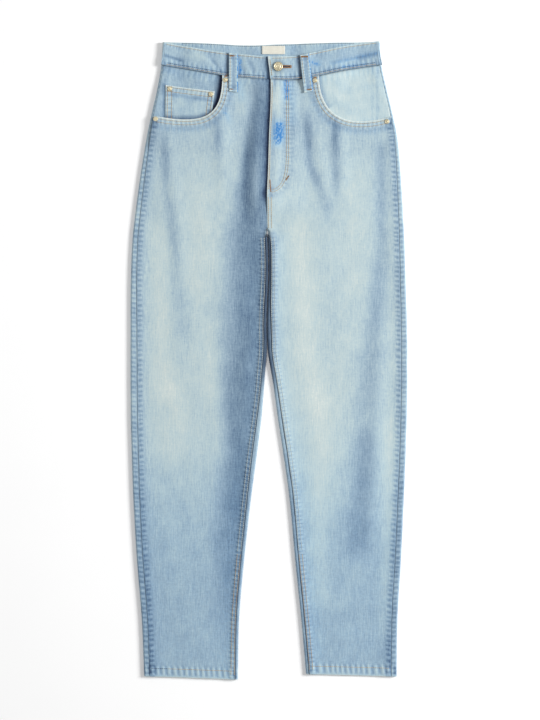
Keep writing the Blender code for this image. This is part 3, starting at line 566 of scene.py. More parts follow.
# The darker zone beside the centre and the inner seam of the wearer's right leg, partly dye and partly
# painted shade where the front slopes down to the seam,
# by height: how far it stays dark, how far it fades and how dark it is
Zone = namedtuple("Zone", "y near far amount")
INNER_ZONE = (
    Zone(470, 20, 44, -0.22),
    Zone(392, 30, 52, -0.33),
    Zone(303, 40, 62, -0.33),
    Zone(259, 34, 74, -0.35),
    Zone(170, 28, 94, -0.38),
    Zone(38, 30, 97, -0.38),
    Zone(-50, 42, 84, -0.37),
    Zone(-138, 28, 70, -0.36),
    Zone(-227, 20, 72, -0.33),
    Zone(-315, 20, 72, -0.20),
    Zone(-404, 14, 60, -0.13),
    Zone(-492, 10, 40, 0.0),
)
zone_near = through(INNER_ZONE, "y", "near")
zone_far = through(INNER_ZONE, "y", "far")
zone_amount = through(INNER_ZONE, "y", "amount")
# General wear of the fronts by height
Level = namedtuple("Level", "y wear")
LEVELS = (
    Level(500, 0.66),
    Level(400, 0.66),
    Level(300, 0.72),
    Level(0, 0.74),
    Level(-140, 0.74),
    Level(-230, 0.67),
    Level(-320, 0.61),
    Level(-430, 0.585),
    Level(-540, 0.57),
)
level_wear = through(LEVELS, "y", "wear")
# Saturated places of the fronts, where the dye was protected
FRONT_BLUES = (
    Tint(15, 408, 13, 364, 10, 1.1),
    Tint(24, 404, 22, 372, 7, 0.6),
    Tint(29, 482, 30, 440, 6, 0.95),
    Tint(38, 470, 39, 400, 9, 0.35),
    Tint(104, 490, 164, 487, 4, 0.5),
    Tint(-48, 478, -46, 440, 9, 0.45),
    Tint(-66, 404, -78, 430, 5, 0.45),
)


def tinted(tints, x, y, fade=20):
    return sum(tint.amount * on_line(tint, x, y, fade) for tint in tints)


def front_looks(side, x, y):
    """Relief and colour of a front panel: height, wear, blue and painted_shade, the painted navy shade of
    grooves and seams.
    """
    seed = 3 if side is RIGHT else 4
    mouth, mouth_at = MOUTHS[side].near(x, y)
    inner, inner_at = INNER_EDGES[side].near(x, y)
    outseam, outseam_at = OUTSEAMS[side].near(x, y)
    waist, waist_at = WAIST_SEAM.near(x, y)
    hem = y - HEM_LEVEL
    below = 1 - step(y, CROTCH - 30, CROTCH + 10)
    above = 1 - below

    relief = 0.22 * ripple(x, y, 90, seed) + 0.10 * ripple(x, y, 34, seed + 10)
    relief = relief + 0.55 * plateau(mouth, 9, 5)
    relief = relief + below * 0.55 * plateau(inner, 6.5, 4)
    wear = level_wear(y) + 0.02 * ripple(x, y, 60, seed + 20) + tinted(FRONT_TINTS, x, y, 28)
    # Darker beside the outseam: painted shade where the leg rolls over its folded edge
    wear = wear - 0.20 * bell(outseam - 2, 9) - 0.05 * bell(outseam, 26)
    # Darker beside the inner edge of each leg: partly dye, partly painted shade where the front slopes down
    # to the seam
    if side is RIGHT:
        wear = wear + zone_amount(y) * (1 - step(inner, zone_near(y), zone_far(y)))
    else:
        wear = wear - 0.22 * bell(inner - 5, 7) * below * (0.35 + 0.65 * step(y, -60, 60))
        wear = wear + 0.05 * bell(outseam - 12, 9)
    blue = tinted(FRONT_BLUES, x, y, 9) + 0.32 * step(-y, 20, 330) + 0.16 * bell(waist - 4, 7)
    blue = blue + 0.18 * below * bell(inner - 16, 14)
    # Painted navy shade in the groove between the legs and along the waist seam
    painted_shade = 0.8 * below * bell(inner - 0.2, 1.6) + 0.35 * bell(waist, 1.5)
    painted_shade = painted_shade + 0.35 * below * bell(inner - 1, 3.4) * step(y, -20, 60)

    wave, where = roping(mouth, mouth_at, 1.5, 12, 7.5, seed + 30)
    relief = relief + 0.28 * wave * where
    wear = wear + 0.11 * wave * where - 0.12 * bell(mouth - 16, 5)
    wear = wear + 0.42 * bell(mouth, 1.9)
    blue = blue + 0.35 * bell(mouth - 17, 6) * (0.5 + 0.5 * wave)
    wave, where = roping(outseam, outseam_at, 2, 9, 8.5, seed + 31)
    relief = relief + 0.25 * wave * where
    wear = wear + 0.13 * wave * where
    wave, where = roping(inner, inner_at, 1.0, 11, 6.8, seed + 32)
    relief = relief + below * 0.22 * wave * where
    wear = wear + below * 0.12 * wave * where
    wave, where = roping(hem, x, 4, 18, 9.5, seed + 33)
    relief = relief + 0.34 * wave * where + 0.3 * plateau(hem, 12, 4)
    wear = wear + 0.16 * wave * where + 0.05 * plateau(hem, 14, 6) + 0.3 * bell(hem, 1.6)
    wave, where = roping(waist, waist_at, 0, 10, 8.0, seed + 34)
    relief = relief + 0.18 * wave * where
    wear = wear + 0.10 * wave * where
    if side is LEFT:
        stitch, stitch_at = FLY_STITCH.near(x, y)
        wave, where = roping(stitch, stitch_at, -3, 7, 7.5, seed + 35)
        relief = relief + 0.16 * wave * where
        wear = wear + 0.08 * wave * where - 0.10 * bell(stitch - 6, 4)
        edge = above * step(y, CROTCH + 40, CROTCH + 60)
        wear = wear + edge * (0.38 * bell(inner, 1.8) - 0.10 * bell(inner - 7, 4))
    else:
        edge = above * step(y, CROTCH + 34, CROTCH + 60)
        shade = bell(np.maximum(inner - FLY_UNDER, 0), 6.5) * edge
        wear = wear - 0.34 * shade
        painted_shade = painted_shade + 0.45 * bell(np.maximum(inner - FLY_UNDER, 0), 3.2) * edge
    crotch = above * plateau(inner, 9, 4) * (1 - step(y, FLY_END - 6, FLY_END + 4))
    relief = relief + 0.3 * crotch
    return relief, wear, blue, painted_shade


def front_face(side, x, y):
    """The outer face of a front panel with its relief."""
    return front_under(side, x, y) + CLOTH + front_looks(side, x, y)[0]


def settled(side, x, y):
    """A point of a leg as it lies, with the slant of its hem."""
    return x, y - side.drop(x, y)


# Mesh building
def piece(name, points, faces, dye_and_shade=None):
    """A mesh object from points in millimetres, with its dye_and_shade colour on each point: the washed
    colour of the cloth and painted shade.
    """
    mesh = bpy.data.meshes.new(name)
    mesh.from_pydata((np.asarray(points) * MM).tolist(), [], faces)
    if dye_and_shade is not None:
        colours = np.ones((len(points), 4), np.float32)
        colours[:, :3] = np.clip(dye_and_shade, 0, 1.25)
        stored = mesh.attributes.new("dye_and_shade", "FLOAT_COLOR", "POINT")
        stored.data.foreach_set("color", colours.ravel())
    mesh.shade_smooth()
    obj = bpy.data.objects.new(name, mesh)
    bpy.context.scene.collection.objects.link(obj)
    return obj


def grid_faces(rows, columns, first=0):
    """Quads over a grid of points stored row by row, facing up for rows that run down."""
    number = first + np.arange(rows * columns).reshape(rows, columns)
    quads = np.stack([number[:-1, :-1], number[1:, :-1], number[1:, 1:], number[:-1, 1:]], axis=-1)
    return quads.reshape(-1, 4).tolist()


def apply_all(obj):
    """Applies a piece's modifiers, as by hand."""
    bpy.ops.object.select_all(action="DESELECT")
    bpy.context.view_layer.objects.active = obj
    obj.select_set(True)
    for modifier in list(obj.modifiers):
        bpy.ops.object.modifier_apply(modifier=modifier.name)
    obj.select_set(False)
    return obj


def cloth(obj, thickness, outward, thick=None, thin=None, rim=0.4):
    """Gives a surface its wall with softly rounded edges."""
    wall = obj.modifiers.new("wall", "SOLIDIFY")
    wall.thickness = thickness * MM
    wall.offset = 1.0 if outward else -1.0
    if thick is not None:
        group = obj.vertex_groups.new(name="thick")
        group.add([int(i) for i in thick], 1.0, "REPLACE")
        wall.vertex_group = "thick"
        wall.thickness_vertex_group = thin / thickness
    edge = obj.modifiers.new("edge", "BEVEL")
    edge.width = rim * MM
    edge.segments = 2
    edge.limit_method = "ANGLE"
    edge.angle_limit = np.radians(50)
    return apply_all(obj)


def finish_cloth(obj, material, node):
    """Material and place in the table of one sheet of cloth."""
    obj.data.materials.clear()
    obj.data.materials.append(material)
    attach(obj, "root")
    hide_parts(node)
    return obj


def patch(top, low, left, right):
    """Points inside four boundary lines that meet at their ends, as rows of a grid."""
    u = np.linspace(0, 1, len(top))[None, :, None]
    v = np.linspace(0, 1, len(left))[:, None, None]
    ruled = (1 - v) * top[None] + v * low[None] + (1 - u) * left[:, None] + u * right[:, None]
    corners = (1 - u) * (1 - v) * top[0] + u * (1 - v) * top[-1]
    return ruled - corners - (1 - u) * v * low[0] - u * v * low[-1]


# The front's two patches meet this far down the pocket mouth
SPLIT = 0.42
EASE = 1.6
MOUTH_COLUMNS = 46
FLY_COLUMNS = 30
MOUTH_ROWS = 36
LEG_ROWS = 400


def eased(count):
    """Shares from 0 to 1, closer together at both ends."""
    return 1 - (1 - np.linspace(0, 1, count) ** EASE) ** EASE


def front_panel(side, name):
    """A front panel as two patches that share a line from the pocket mouth to the fly."""
    mouth = MOUTHS[side].points
    seam_y = front_seam(mouth[:, 0]) - GAP
    first = int(np.argmax(mouth[:, 1] < seam_y))
    edge_x = side.outseam(mouth[:, 1]) + side.inward * SEAM_GAP
    beyond = (mouth[:, 0] - edge_x) * side.inward < 0
    last = int(np.argmax(beyond)) if beyond.any() else len(mouth) - 1
    middle = int(SPLIT * len(mouth))
    upper = Line(mouth[first:middle + 1])
    lower = Line(mouth[middle:last + 1][::-1])
    corner = mouth[middle]

    top_x = mix(mouth[first, 0], front_inner(side, FLY_TOP - 0.5), eased(FLY_COLUMNS))
    top = np.stack([top_x, front_seam(top_x) - GAP], axis=1)
    left = upper.place(np.linspace(0, upper.length, MOUTH_ROWS))
    left[0] = top[0]
    right_y = np.linspace(top[-1, 1], corner[1], MOUTH_ROWS)
    right = np.stack([front_inner(side, right_y), right_y], axis=1)
    right[0] = top[-1]
    shared_x = mix(corner[0], right[-1, 0], eased(FLY_COLUMNS))
    shared = np.stack([shared_x, np.full(FLY_COLUMNS, corner[1])], axis=1)
    upper_patch = patch(top, shared, left, right)

    mouth_low = lower.place(np.linspace(0, lower.length, MOUTH_COLUMNS))
    top = np.concatenate([mouth_low[:-1], shared])
    count = len(top)
    left_y = mix(top[0, 1], HEM_LEVEL, np.linspace(0, 1, LEG_ROWS))
    left = np.stack([side.outseam(left_y) + side.inward * SEAM_GAP, left_y], axis=1)
    left[0] = top[0]
    right_y = mix(corner[1], HEM_LEVEL, np.linspace(0, 1, LEG_ROWS))
    right = np.stack([front_inner(side, right_y), right_y], axis=1)
    low_x = mix(left[-1, 0], right[-1, 0], np.linspace(0, 1, count))
    low = np.stack([low_x, np.full(count, HEM_LEVEL)], axis=1)
    lower_patch = patch(top, low, left, right)

    flat = np.concatenate([upper_patch[:-1].reshape(-1, 2), lower_patch.reshape(-1, 2)])
    started = upper_patch[:-1].size // 2
    faces = grid_faces(MOUTH_ROWS - 1, FLY_COLUMNS)
    faces += grid_faces(LEG_ROWS, count, started)
    above = np.arange(FLY_COLUMNS) + (MOUTH_ROWS - 2) * FLY_COLUMNS
    below = np.arange(FLY_COLUMNS) + started + count - FLY_COLUMNS
    faces += np.stack([above[:-1], below[:-1], below[1:], above[1:]], axis=1).tolist()
    if side is LEFT:
        faces = [face[::-1] for face in faces]
    x, y = flat.T
    relief, wear, blue, painted_shade = front_looks(side, x, y)
    z = front_under(side, x, y) + CLOTH + relief
    placed_x, placed_y = settled(side, x, y)
    points = np.stack([placed_x, placed_y, z], axis=1)
    obj = piece(name, points, faces, np.stack([wear, blue, painted_shade], axis=1))
    hem = np.nonzero(y < HEM_LEVEL + HEM_DEPTH)[0]
    return cloth(obj, HEM_CLOTH, False, hem, CLOTH)


BACK_COLUMNS = 70
BACK_ROWS = 260
WRAP_LENGTH = 24.0
OUTER_TURN = 12
INNER_TURN = 10


def back_row(side, y):
    """One row of the back panel, from the outseam round both folds to the inseam."""
    def top(x):
        return base(side, x, y) + CLOTH

    tangent = side.outer(y) + side.inward * FOLD_RADIUS
    seam = side.outseam(y)
    strip_x = np.linspace(seam, tangent, 6)[:-1]
    crest = top(tangent)
    angle = np.pi / 2 - np.pi * np.linspace(0, 1, OUTER_TURN)
    turn_x = tangent - side.inward * FOLD_RADIUS * np.cos(angle)
    turn_z = crest / 2 + crest / 2 * np.sin(angle)

    turn = 1 - step(y, CROTCH - 12, CROTCH - 2)
    reach = 1 - step(y, CROTCH - 20, CROTCH - 6)
    radius = FOLD_RADIUS * turn
    flat_end = side.inner(y) - side.inward * radius
    crest = top(flat_end) if turn > 0 else 2 * CLOTH
    strip = max(side.inseam_inset(y) - radius, 0.0) * turn
    arc = np.pi * FOLD_RADIUS * turn
    wrap = (arc + strip) * reach
    started = min(wrap - WRAP_LENGTH, 0.0)
    flat_x = mix(tangent, flat_end + side.inward * started, np.linspace(0, 1, BACK_COLUMNS))[1:]
    run = np.linspace(started, wrap, INNER_TURN + 8)[1:]
    bend = np.clip(np.pi * run / max(arc, 1e-6), 0, np.pi)
    on_arc = (run > 0) & (run < arc)
    on_strip = (run >= arc) & (arc > 0) & (run > 0)
    end_x = flat_end + side.inward * np.minimum(run, 0.0)
    end_z = raised(end_x, y + 0 * end_x)
    end_x = np.where(on_arc, flat_end + side.inward * radius * np.sin(bend), end_x)
    end_z = np.where(on_arc, crest / 2 - crest / 2 * np.cos(bend), end_z)
    strip_end = flat_end - side.inward * (run - arc)
    end_x = np.where(on_strip, strip_end, end_x)
    end_z = np.where(on_strip, top(strip_end), end_z)
    x = np.concatenate([strip_x, turn_x, flat_x, end_x])
    z = np.concatenate([top(strip_x), turn_z, raised(flat_x, y + 0 * flat_x), end_z])
    bottom = np.concatenate([np.zeros(len(strip_x)), np.zeros(OUTER_TURN), np.ones(len(flat_x)), run <= 0])
    return x, z, bottom


def back_looks(side, x, y, z):
    """Dye of a back panel: the seat and the calves are worn, the folded edges are paler, and painted shade
    darkens the groove between the legs and the outseam line.
    """
    edge = np.minimum(side.from_outer(x, y), side.from_inner(x, y) + 400 * (y > CROTCH))
    wear = 0.66 + 0.04 * ripple(x, y, 80, 41) - 0.12 * step(-y, 60, 300)
    wear = wear + 0.16 * bell(np.hypot(x - side.inward * -92, (y - 300) * 0.8), 90)
    wear = wear - 0.10 * bell(edge, 16) + 0.05 * bell(edge, 3)
    centre = np.abs(x - CENTRE_LINE)
    seat = step(y, CROTCH - 20, CROTCH + 20)
    wear = wear - seat * 0.20 * bell(centre - 16, 12)
    wave, where = roping(side.from_outer(x, y), y, 2, 9, 8.5, 43)
    wear = wear + 0.14 * wave * where
    inner = side.from_inner(x, y)
    # Painted shade in the groove between the legs
    groove = (z > 1.0) * (y < CROTCH) * bell(np.maximum(inner, 0), 7) * step(y, -70, 0)
    wear = wear - 0.30 * groove
    hem = y - HEM_LEVEL
    wave, where = roping(hem, x, 4, 18, 9.5, 44)
    wear = wear + 0.16 * wave * where + 0.25 * bell(hem, 1.6)
    blue = 0.12 + 0.1 * step(-y, 60, 400) + 0.0 * x
    # Painted navy shade along the outseam on top of the fold and in the groove
    painted_shade = 0.25 * bell(side.from_outer(x, y) - side.outseam_inset(y), 1.2) * (z > 3.0) + 0.75 * groove
    return np.stack([wear, blue, painted_shade], axis=1)


def back_panel(side, name):
    """The back panel from the yoke seam to the hem, wrapped round the edges of the leg."""
    crotch_levels = np.linspace(CROTCH + 10, CROTCH - 22, 14)
    levels = np.concatenate([crotch_levels, np.linspace(CROTCH - 26, HEM_LEVEL, BACK_ROWS)])
    rows = [sloped_row(side, lambda x, s=share: mix(yoke_seam(x) - GAP, CROTCH + 14, s))
            for share in np.linspace(0, 1, 60)]
    for y in levels:
        x, z, bottom = back_row(side, y)
        rows.append((x, y + 0 * x, z))
    return wrapped(side, name, rows, HEM_CLOTH, CLOTH)


def sloped_row(side, level):
    """A back row above the crotch whose height follows a slanted seam."""
    x, z, bottom = back_row(side, float(level(side.outer(YOKE_LEVEL))))
    y = level(x)
    return x, y, np.where(bottom > 0.5, raised(x, y), z)


def wrapped(side, name, rows, thickness, thin):
    """A back piece from its rows, with its wall on the inside."""
    x, y, z = (np.concatenate([row[axis] for row in rows]) for axis in range(3))
    faces = grid_faces(len(rows), len(rows[0][0]))
    if side is RIGHT:
        faces = [face[::-1] for face in faces]
    dye_and_shade = back_looks(side, x, y, z)
    placed_x, placed_y = settled(side, x, y)
    obj = piece(name, np.stack([placed_x, placed_y, z], axis=1), faces, dye_and_shade)
    hem = np.nonzero(y < HEM_LEVEL + HEM_DEPTH)[0]
    if thickness == thin:
        return cloth(obj, thin, False)
    return cloth(obj, thickness, False, hem, thin)


def yoke(side, name):
    rows = [sloped_row(side, lambda x, s=share: mix(back_seam(x) - SEAM_GAP, yoke_seam(x), s))
            for share in np.linspace(0, 1, 22)]
    return wrapped(side, name, rows, CLOTH, CLOTH)


# Creases of the waistband: dark sharp ones darkened with painted shade, soft pale ones and blue places
BAND_CREASES = (
    Tint(-178, 519, -146, 509, 2.6, -0.7),
    Tint(-139, 531, -80, 494, 6.0, 0.5),
    Tint(-97, 511, -80, 490, 2.8, -0.8),
    Tint(-44, 514, -33, 486, 3.2, 0.5),
    Tint(-34, 512, -24, 488, 2.8, -0.4),
    Tint(104, 504, 188, 523, 4.0, -0.45),
    Tint(96, 500, 150, 512, 4.5, 0.35),
    Tint(-165, 528, -128, 516, 3.6, 0.4),
)
BAND_BLUES = (
    Tint(70, 508, 88, 503, 6, 0.75),
    Tint(104, 504, 188, 523, 4.5, 0.5),
    Tint(-49, 514, -49, 487, 3.5, 0.9),
    Tint(120, 499, 165, 503, 3, 0.5),
)
BAND_ROWS = 18
BAND_FOLD = FOLD_RADIUS * 1.1
FRONT_BAND = (520.0, 481.0)
BACK_BAND = (540.0, 502.0)
CUTTER_HEIGHT = 8.0
CUTTER_BELOW = 0.15
SLIT_WIDTH = 1.6


def band_looks(x, y, share, seed):
    """Relief and colour of the waistband, with painted navy shade along its seam. share is 0 on its top
    edge and 1 on its seam.
    """
    from_top, from_seam = share * BAND_HEIGHT, (1 - share) * BAND_HEIGHT
    relief = 0.16 * ripple(x, y, 30, seed)
    wear = 0.60 + 0.05 * ripple(x, y, 42, seed + 1)
    wave, where = roping(from_seam, x, 0, 12, 8.0, seed + 2)
    relief = relief + 0.26 * wave * where
    wear = wear + 0.12 * wave * where - 0.10 * bell(from_seam - 3, 4)
    wave, where = roping(from_top, x, 0, 7, 7.0, seed + 3)
    relief = relief + 0.16 * wave * where
    wear = wear + 0.10 * wave * where + 0.25 * bell(from_top, 2.0)
    blue = 0.20 + 0.18 * bell(from_seam - 4, 6) + 0.0 * x
    # Painted navy shade along the seam
    painted_shade = 0.35 * bell(from_seam, 1.6)
    return relief, wear, blue, painted_shade


def band_point(side, x, down):
    """A point of the front of the waistband, on its outer face."""
    y = mix(front_top(x), front_seam(x), down)
    relief, wear, blue, painted_shade = band_looks(x, y, down, 50)
    crease = tinted(BAND_CREASES, x, y, 6)
    relief = relief + 0.8 * crease
    # Painted shade in the dark creases; the soft ones are paler
    wear = wear + np.where(crease < 0, 0.42 * crease, 0.2 * crease)
    blue = blue + tinted(BAND_BLUES, x, y, 5)
    if side is LEFT:
        wear = wear + 0.36 * bell(x - fly_edge(y), 2.0)
        button = np.hypot(x - BUTTON_PLACE[0], y - BUTTON_PLACE[1])
        wear = wear + 0.10 * bell(button - 15, 5)
        # Painted shadow round the button
        painted_shade = painted_shade + 0.55 * bell(button, 10.5)
    else:
        shade = bell(np.minimum(x - fly_edge(y), 0), 6.0)
        wear = wear - 0.40 * shade
        painted_shade = painted_shade + 0.55 * shade
    # Painted shadow of the belt loop along its left edge, on the band
    loop = FRONT_LOOPS[0 if side is RIGHT else 1]
    middle = mix(loop.top_x, loop.low_x, down * BAND_HEIGHT / LOOP_LENGTH)
    past = x - (middle - LOOP_WIDTH / 2)
    painted_shade = painted_shade + 0.65 * bell(past + 2.5, 3.2)
    wear = wear - 0.20 * bell(past + 3, 4)
    z = band_under(side, x, y) + BAND_CLOTH + relief
    return np.stack([x, y, z], axis=-1), np.stack([wear, blue, painted_shade], axis=-1)


def band_face(side, x, y):
    """The height of the waistband's outer face."""
    down = np.clip((front_top(x) - y) / (front_top(x) - front_seam(x)), 0, 1)
    return band_point(side, x, down)[0][..., 2]


def waistband():
    """One strip: underlap end, right front, back, left front and overlap end."""
    down = np.linspace(0, 1, BAND_ROWS)
    height = mix(*FRONT_BAND, down)
    stations, dye_and_shade_rows = [], []

    def front(side, end, shares):
        bend = side.outer(height) + side.inward * BAND_FOLD
        for share in shares:
            point, dye_and_shade = band_point(side, mix(end, bend, share), down)
            stations.append(point)
            dye_and_shade_rows.append(dye_and_shade)

    def fold(side, angles):
        for angle in angles:
            near = side.outer(FRONT_BAND[0])
            y = mix(front_top(near), front_seam(near), down)
            tangent = side.outer(y) + side.inward * BAND_FOLD
            crest = band_under(side, tangent, y) + BAND_CLOTH
            x = tangent - side.inward * BAND_FOLD * np.cos(angle)
            lift = (1 + np.sin(angle)) / 2
            y = mix(mix(back_top(x), front_top(x), lift), mix(back_seam(x), front_seam(x), lift), down)
            stations.append(np.stack([x, y, crest / 2 + crest / 2 * np.sin(angle)], axis=1))
            relief, wear, blue, painted_shade = band_looks(x, y, down, 50)
            dye_and_shade_rows.append(np.stack([wear + 0.06, blue, painted_shade], axis=1))

    turn = np.pi / 2 - np.pi * np.linspace(0, 1, 11)[1:-1]
    front(RIGHT, UNDERLAP_END, np.linspace(0, 1, 96))
    fold(RIGHT, turn)
    for share in np.linspace(0, 1, 130):
        y = mix(*BACK_BAND, down)
        x = mix(RIGHT.outer(y) + BAND_FOLD, LEFT.outer(y) - BAND_FOLD, share)
        y = mix(back_top(x), back_seam(x), down)
        stations.append(np.stack([x, y, raised(x, y)], axis=1))
        relief, wear, blue, painted_shade = band_looks(x, y, down, 55)
        dye_and_shade_rows.append(np.stack([wear, blue, painted_shade], axis=1))
    fold(LEFT, turn[::-1])
    front(LEFT, fly_edge(height), np.linspace(1, 0, 84))
    points = np.concatenate(stations)
    obj = piece("waistband_denim", points, grid_faces(len(stations), BAND_ROWS), np.concatenate(dye_and_shade_rows))
    x, y = BUTTON_PLACE
    level = float(band_under(LEFT, np.array(x), np.array(y)))
    wall = obj.modifiers.new("wall", "SOLIDIFY")
    wall.thickness = BAND_CLOTH * MM
    wall.offset = -1.0
    apply_all(obj)
    bpy.ops.object.select_all(action="DESELECT")
    middle_z = (level + CUTTER_HEIGHT / 2 - CUTTER_BELOW) * MM
    bpy.ops.mesh.primitive_cylinder_add(vertices=28, radius=EYELET_RADIUS * MM, depth=CUTTER_HEIGHT * MM,
                                        location=(x * MM, y * MM, middle_z))
    eyelet = bpy.context.active_object
    bpy.ops.mesh.primitive_cube_add(size=1, location=((x + SLIT_END) / 2 * MM, y * MM, middle_z),
                                    scale=((SLIT_END - x) * MM, SLIT_WIDTH * MM, CUTTER_HEIGHT * MM))
    slit = bpy.context.active_object
    for cutter in (eyelet, slit):
        cut = obj.modifiers.new("buttonhole", "BOOLEAN")
        cut.operation = "DIFFERENCE"
        cut.solver = "EXACT"
        cut.object = cutter
    edge = obj.modifiers.new("edge", "BEVEL")
    edge.width = 0.6 * MM
    edge.segments = 2
    edge.limit_method = "ANGLE"
    edge.angle_limit = np.radians(60)
    apply_all(obj)
    for cutter in (eyelet, slit):
        bpy.data.objects.remove(cutter, do_unlink=True)
    return obj


def facing(side, name):
    """The cloth that shows inside the pocket mouth."""
    v, u = np.meshgrid(np.linspace(0, 1, 44), np.linspace(0, FACING_SHARE, 50), indexing="ij")
    depth = FACING_DEPTH * (1 - u**FACING_POWER) ** (1 / FACING_POWER)
    x = side.outseam(WAIST_LEVEL) + side.inward * (GAP + u * FACING_WIDTH)
    y = front_seam(x) - GAP - depth * v
    x = side.outseam(y) + side.inward * (GAP + u * FACING_WIDTH)
    x, y = x.ravel(), y.ravel()
    mouth, mouth_at = MOUTHS[side].near(x, y)
    waist, waist_at = WAIST_SEAM.near(x, y)
    wave, where = roping(waist, waist_at, 0, 14, 9.0, 61)
    relief = np.maximum(0.15 * ripple(x, y, 36, 62) + 0.12 * wave * where, -0.2)
    wear = 0.70 + 0.05 * ripple(x, y, 30, 63) + 0.08 * wave * where
    if side is LEFT:
        wear = wear + 0.10 - 0.16 * bell(x - 184, 2.5) - 0.14 * bell(x - 176, 2.0)
        shade = bell(mouth, 6) * (mouth_at < 60)
        wear = wear - 0.25 * shade
        painted_shade = 0.1 * shade
    else:
        shade = bell(mouth, 7) * (mouth_at < 95)
        wear = wear - 0.12 - 0.45 * shade
        # Painted shade under the pocket mouth, deepest along its upright part
        painted_shade = 0.9 * shade + 0.5 * bell(np.hypot((x + 84) * 0.9, (y - 440) * 0.22), 7.5)
        wear = wear - 0.20 * bell(x + 178, 3) * (y < 470)
    # Painted shade along the waist seam
    painted_shade = painted_shade + 0.45 * bell(waist, 2.0)
    blue = 0.18 + 0.2 * bell(waist - 5, 8)
    z = base(side, x, y) + relief
    faces = grid_faces(44, 50)
    if side is LEFT:
        faces = [face[::-1] for face in faces]
    obj = piece(name, np.stack([x, y, z], axis=1), faces, np.stack([wear, blue, painted_shade], axis=1))
    return cloth(obj, CLOTH, True)


def coin_face(x, y):
    """The outer face of the coin pocket."""
    return base(RIGHT, x, y) + CLOTH + GAP + COIN_CLOTH


def coin_edges():
    """The top, outer and inner edge of the coin pocket as lines."""
    top = Line([COIN_TOP[0], COIN_TOP[1]])
    outer = Line([COIN_TOP[0], COIN_LOW[0]])
    inner = Line([COIN_TOP[1], COIN_LOW[1]])
    return top, outer, inner


def coin_pocket():
    v, u = np.meshgrid(np.linspace(0, 1, 44), np.linspace(0, 1, 50), indexing="ij")
    upper = [mix(COIN_TOP[0][k], COIN_TOP[1][k], u) for k in (0, 1)]
    lower = [mix(COIN_LOW[0][k], COIN_LOW[1][k], u) for k in (0, 1)]
    x, y = (mix(upper[k], lower[k], v).ravel() for k in (0, 1))
    top, outer, inner = (line.near(x, y) for line in coin_edges())
    relief = 0.06 * ripple(x, y, 24, 71)
    wear = 0.68 + 0.05 * ripple(x, y, 22, 72)
    wave, where = roping(top[0], top[1], 1, 12, 7.0, 73)
    relief = relief + 0.14 * wave * where
    wear = wear + 0.10 * wave * where + 0.35 * bell(top[0], 1.6) - 0.18 * bell(top[0] - 15, 4)
    wave, where = roping(outer[0], outer[1], 0, 12, 7.0, 74)
    wear = wear + 0.09 * wave * where + 0.25 * bell(outer[0], 1.4)
    wave, where = roping(inner[0], inner[1], 0, 10, 7.0, 75)
    wear = wear + 0.09 * wave * where + 0.25 * bell(inner[0], 1.4)
    mouth, mouth_at = MOUTHS[RIGHT].near(x, y)
    shade = bell(mouth, 6)
    wear = wear - 0.3 * shade
    z = coin_face(x, y) - COIN_CLOTH + np.maximum(relief, -0.15)
    dye_and_shade = np.stack([wear, 0.15 + 0.15 * bell(top[0] - 15, 5), 0.35 * shade], axis=1)
    obj = piece("coin_pocket_denim", np.stack([x, y, z], axis=1), grid_faces(44, 50), dye_and_shade)
    return cloth(obj, COIN_CLOTH, True, rim=0.3)


def pocket_outline(side):
    """The corners of a back pocket, from its top outer corner down and round."""
    centre = CENTRE_LINE - side.inward * POCKET_CENTRE
    half, low_half = POCKET_WIDTH / 2, POCKET_WIDTH / 2 - 8
    bottom = POCKET_TOP - POCKET_HEIGHT
    corners = [(-half, POCKET_TOP), (-low_half, bottom + POCKET_POINT), (0, bottom)]
    corners += [(low_half, bottom + POCKET_POINT), (half, POCKET_TOP)]
    return [(centre + x, y) for x, y in corners]


def back_pocket(side, name):
    """A patch pocket, which lies face down on the surface."""
    centre = CENTRE_LINE - side.inward * POCKET_CENTRE
    v, u = np.meshgrid(np.linspace(0, 1, 40), np.linspace(-1, 1, 41), indexing="ij")
    bottom = POCKET_TOP - POCKET_HEIGHT
    low_y = bottom + POCKET_POINT * np.abs(u)
    x = centre + u * mix(POCKET_WIDTH / 2, POCKET_WIDTH / 2 - 8, v)
    y = mix(POCKET_TOP, low_y, v)
    x, y = x.ravel(), y.ravel()
    rim, rim_at = Line(pocket_outline(side)).near(x, y)
    wave, where = roping(rim, rim_at, 1, 11, 7.5, 81)
    wear = 0.74 + 0.05 * ripple(x, y, 45, 82) + 0.10 * wave * where + 0.2 * bell(rim, 1.6)
    hem = POCKET_TOP - y
    wear = wear + 0.12 * bell(hem, 2.0) - 0.12 * bell(hem - 17, 3)
    dye_and_shade = np.stack([wear, 0.12 + 0.0 * x, 0.0 * x], axis=1)
    obj = piece(name, np.stack([x, y, 0 * x], axis=1), grid_faces(40, 41), dye_and_shade)
    return cloth(obj, CLOTH, True)


def shield():
    """The fly shield under the closed zip."""
    rows = []
    for y in np.linspace(470, FLY_END + 6, 60):
        edge = fly_edge(y)
        far = mix(10, 38.0, step(y, FLY_END, FLY_END + 55))
        x = np.linspace(edge - 8.0, edge + far, 16)
        z = np.where(x > edge, base(LEFT, x, y + 0 * x), base(RIGHT, x, y + 0 * x))
        rows.append(np.stack([x, y + 0 * x, z], axis=1))
    points = np.concatenate(rows)
    wear = 0.5 + 0.05 * ripple(points[:, 0], points[:, 1], 30, 91)
    dye_and_shade = np.stack([wear, 0.3 + 0 * wear, 0 * wear], axis=1)
    return cloth(piece("fly_shield_denim", points, grid_faces(60, 16), dye_and_shade), CLOTH, True)


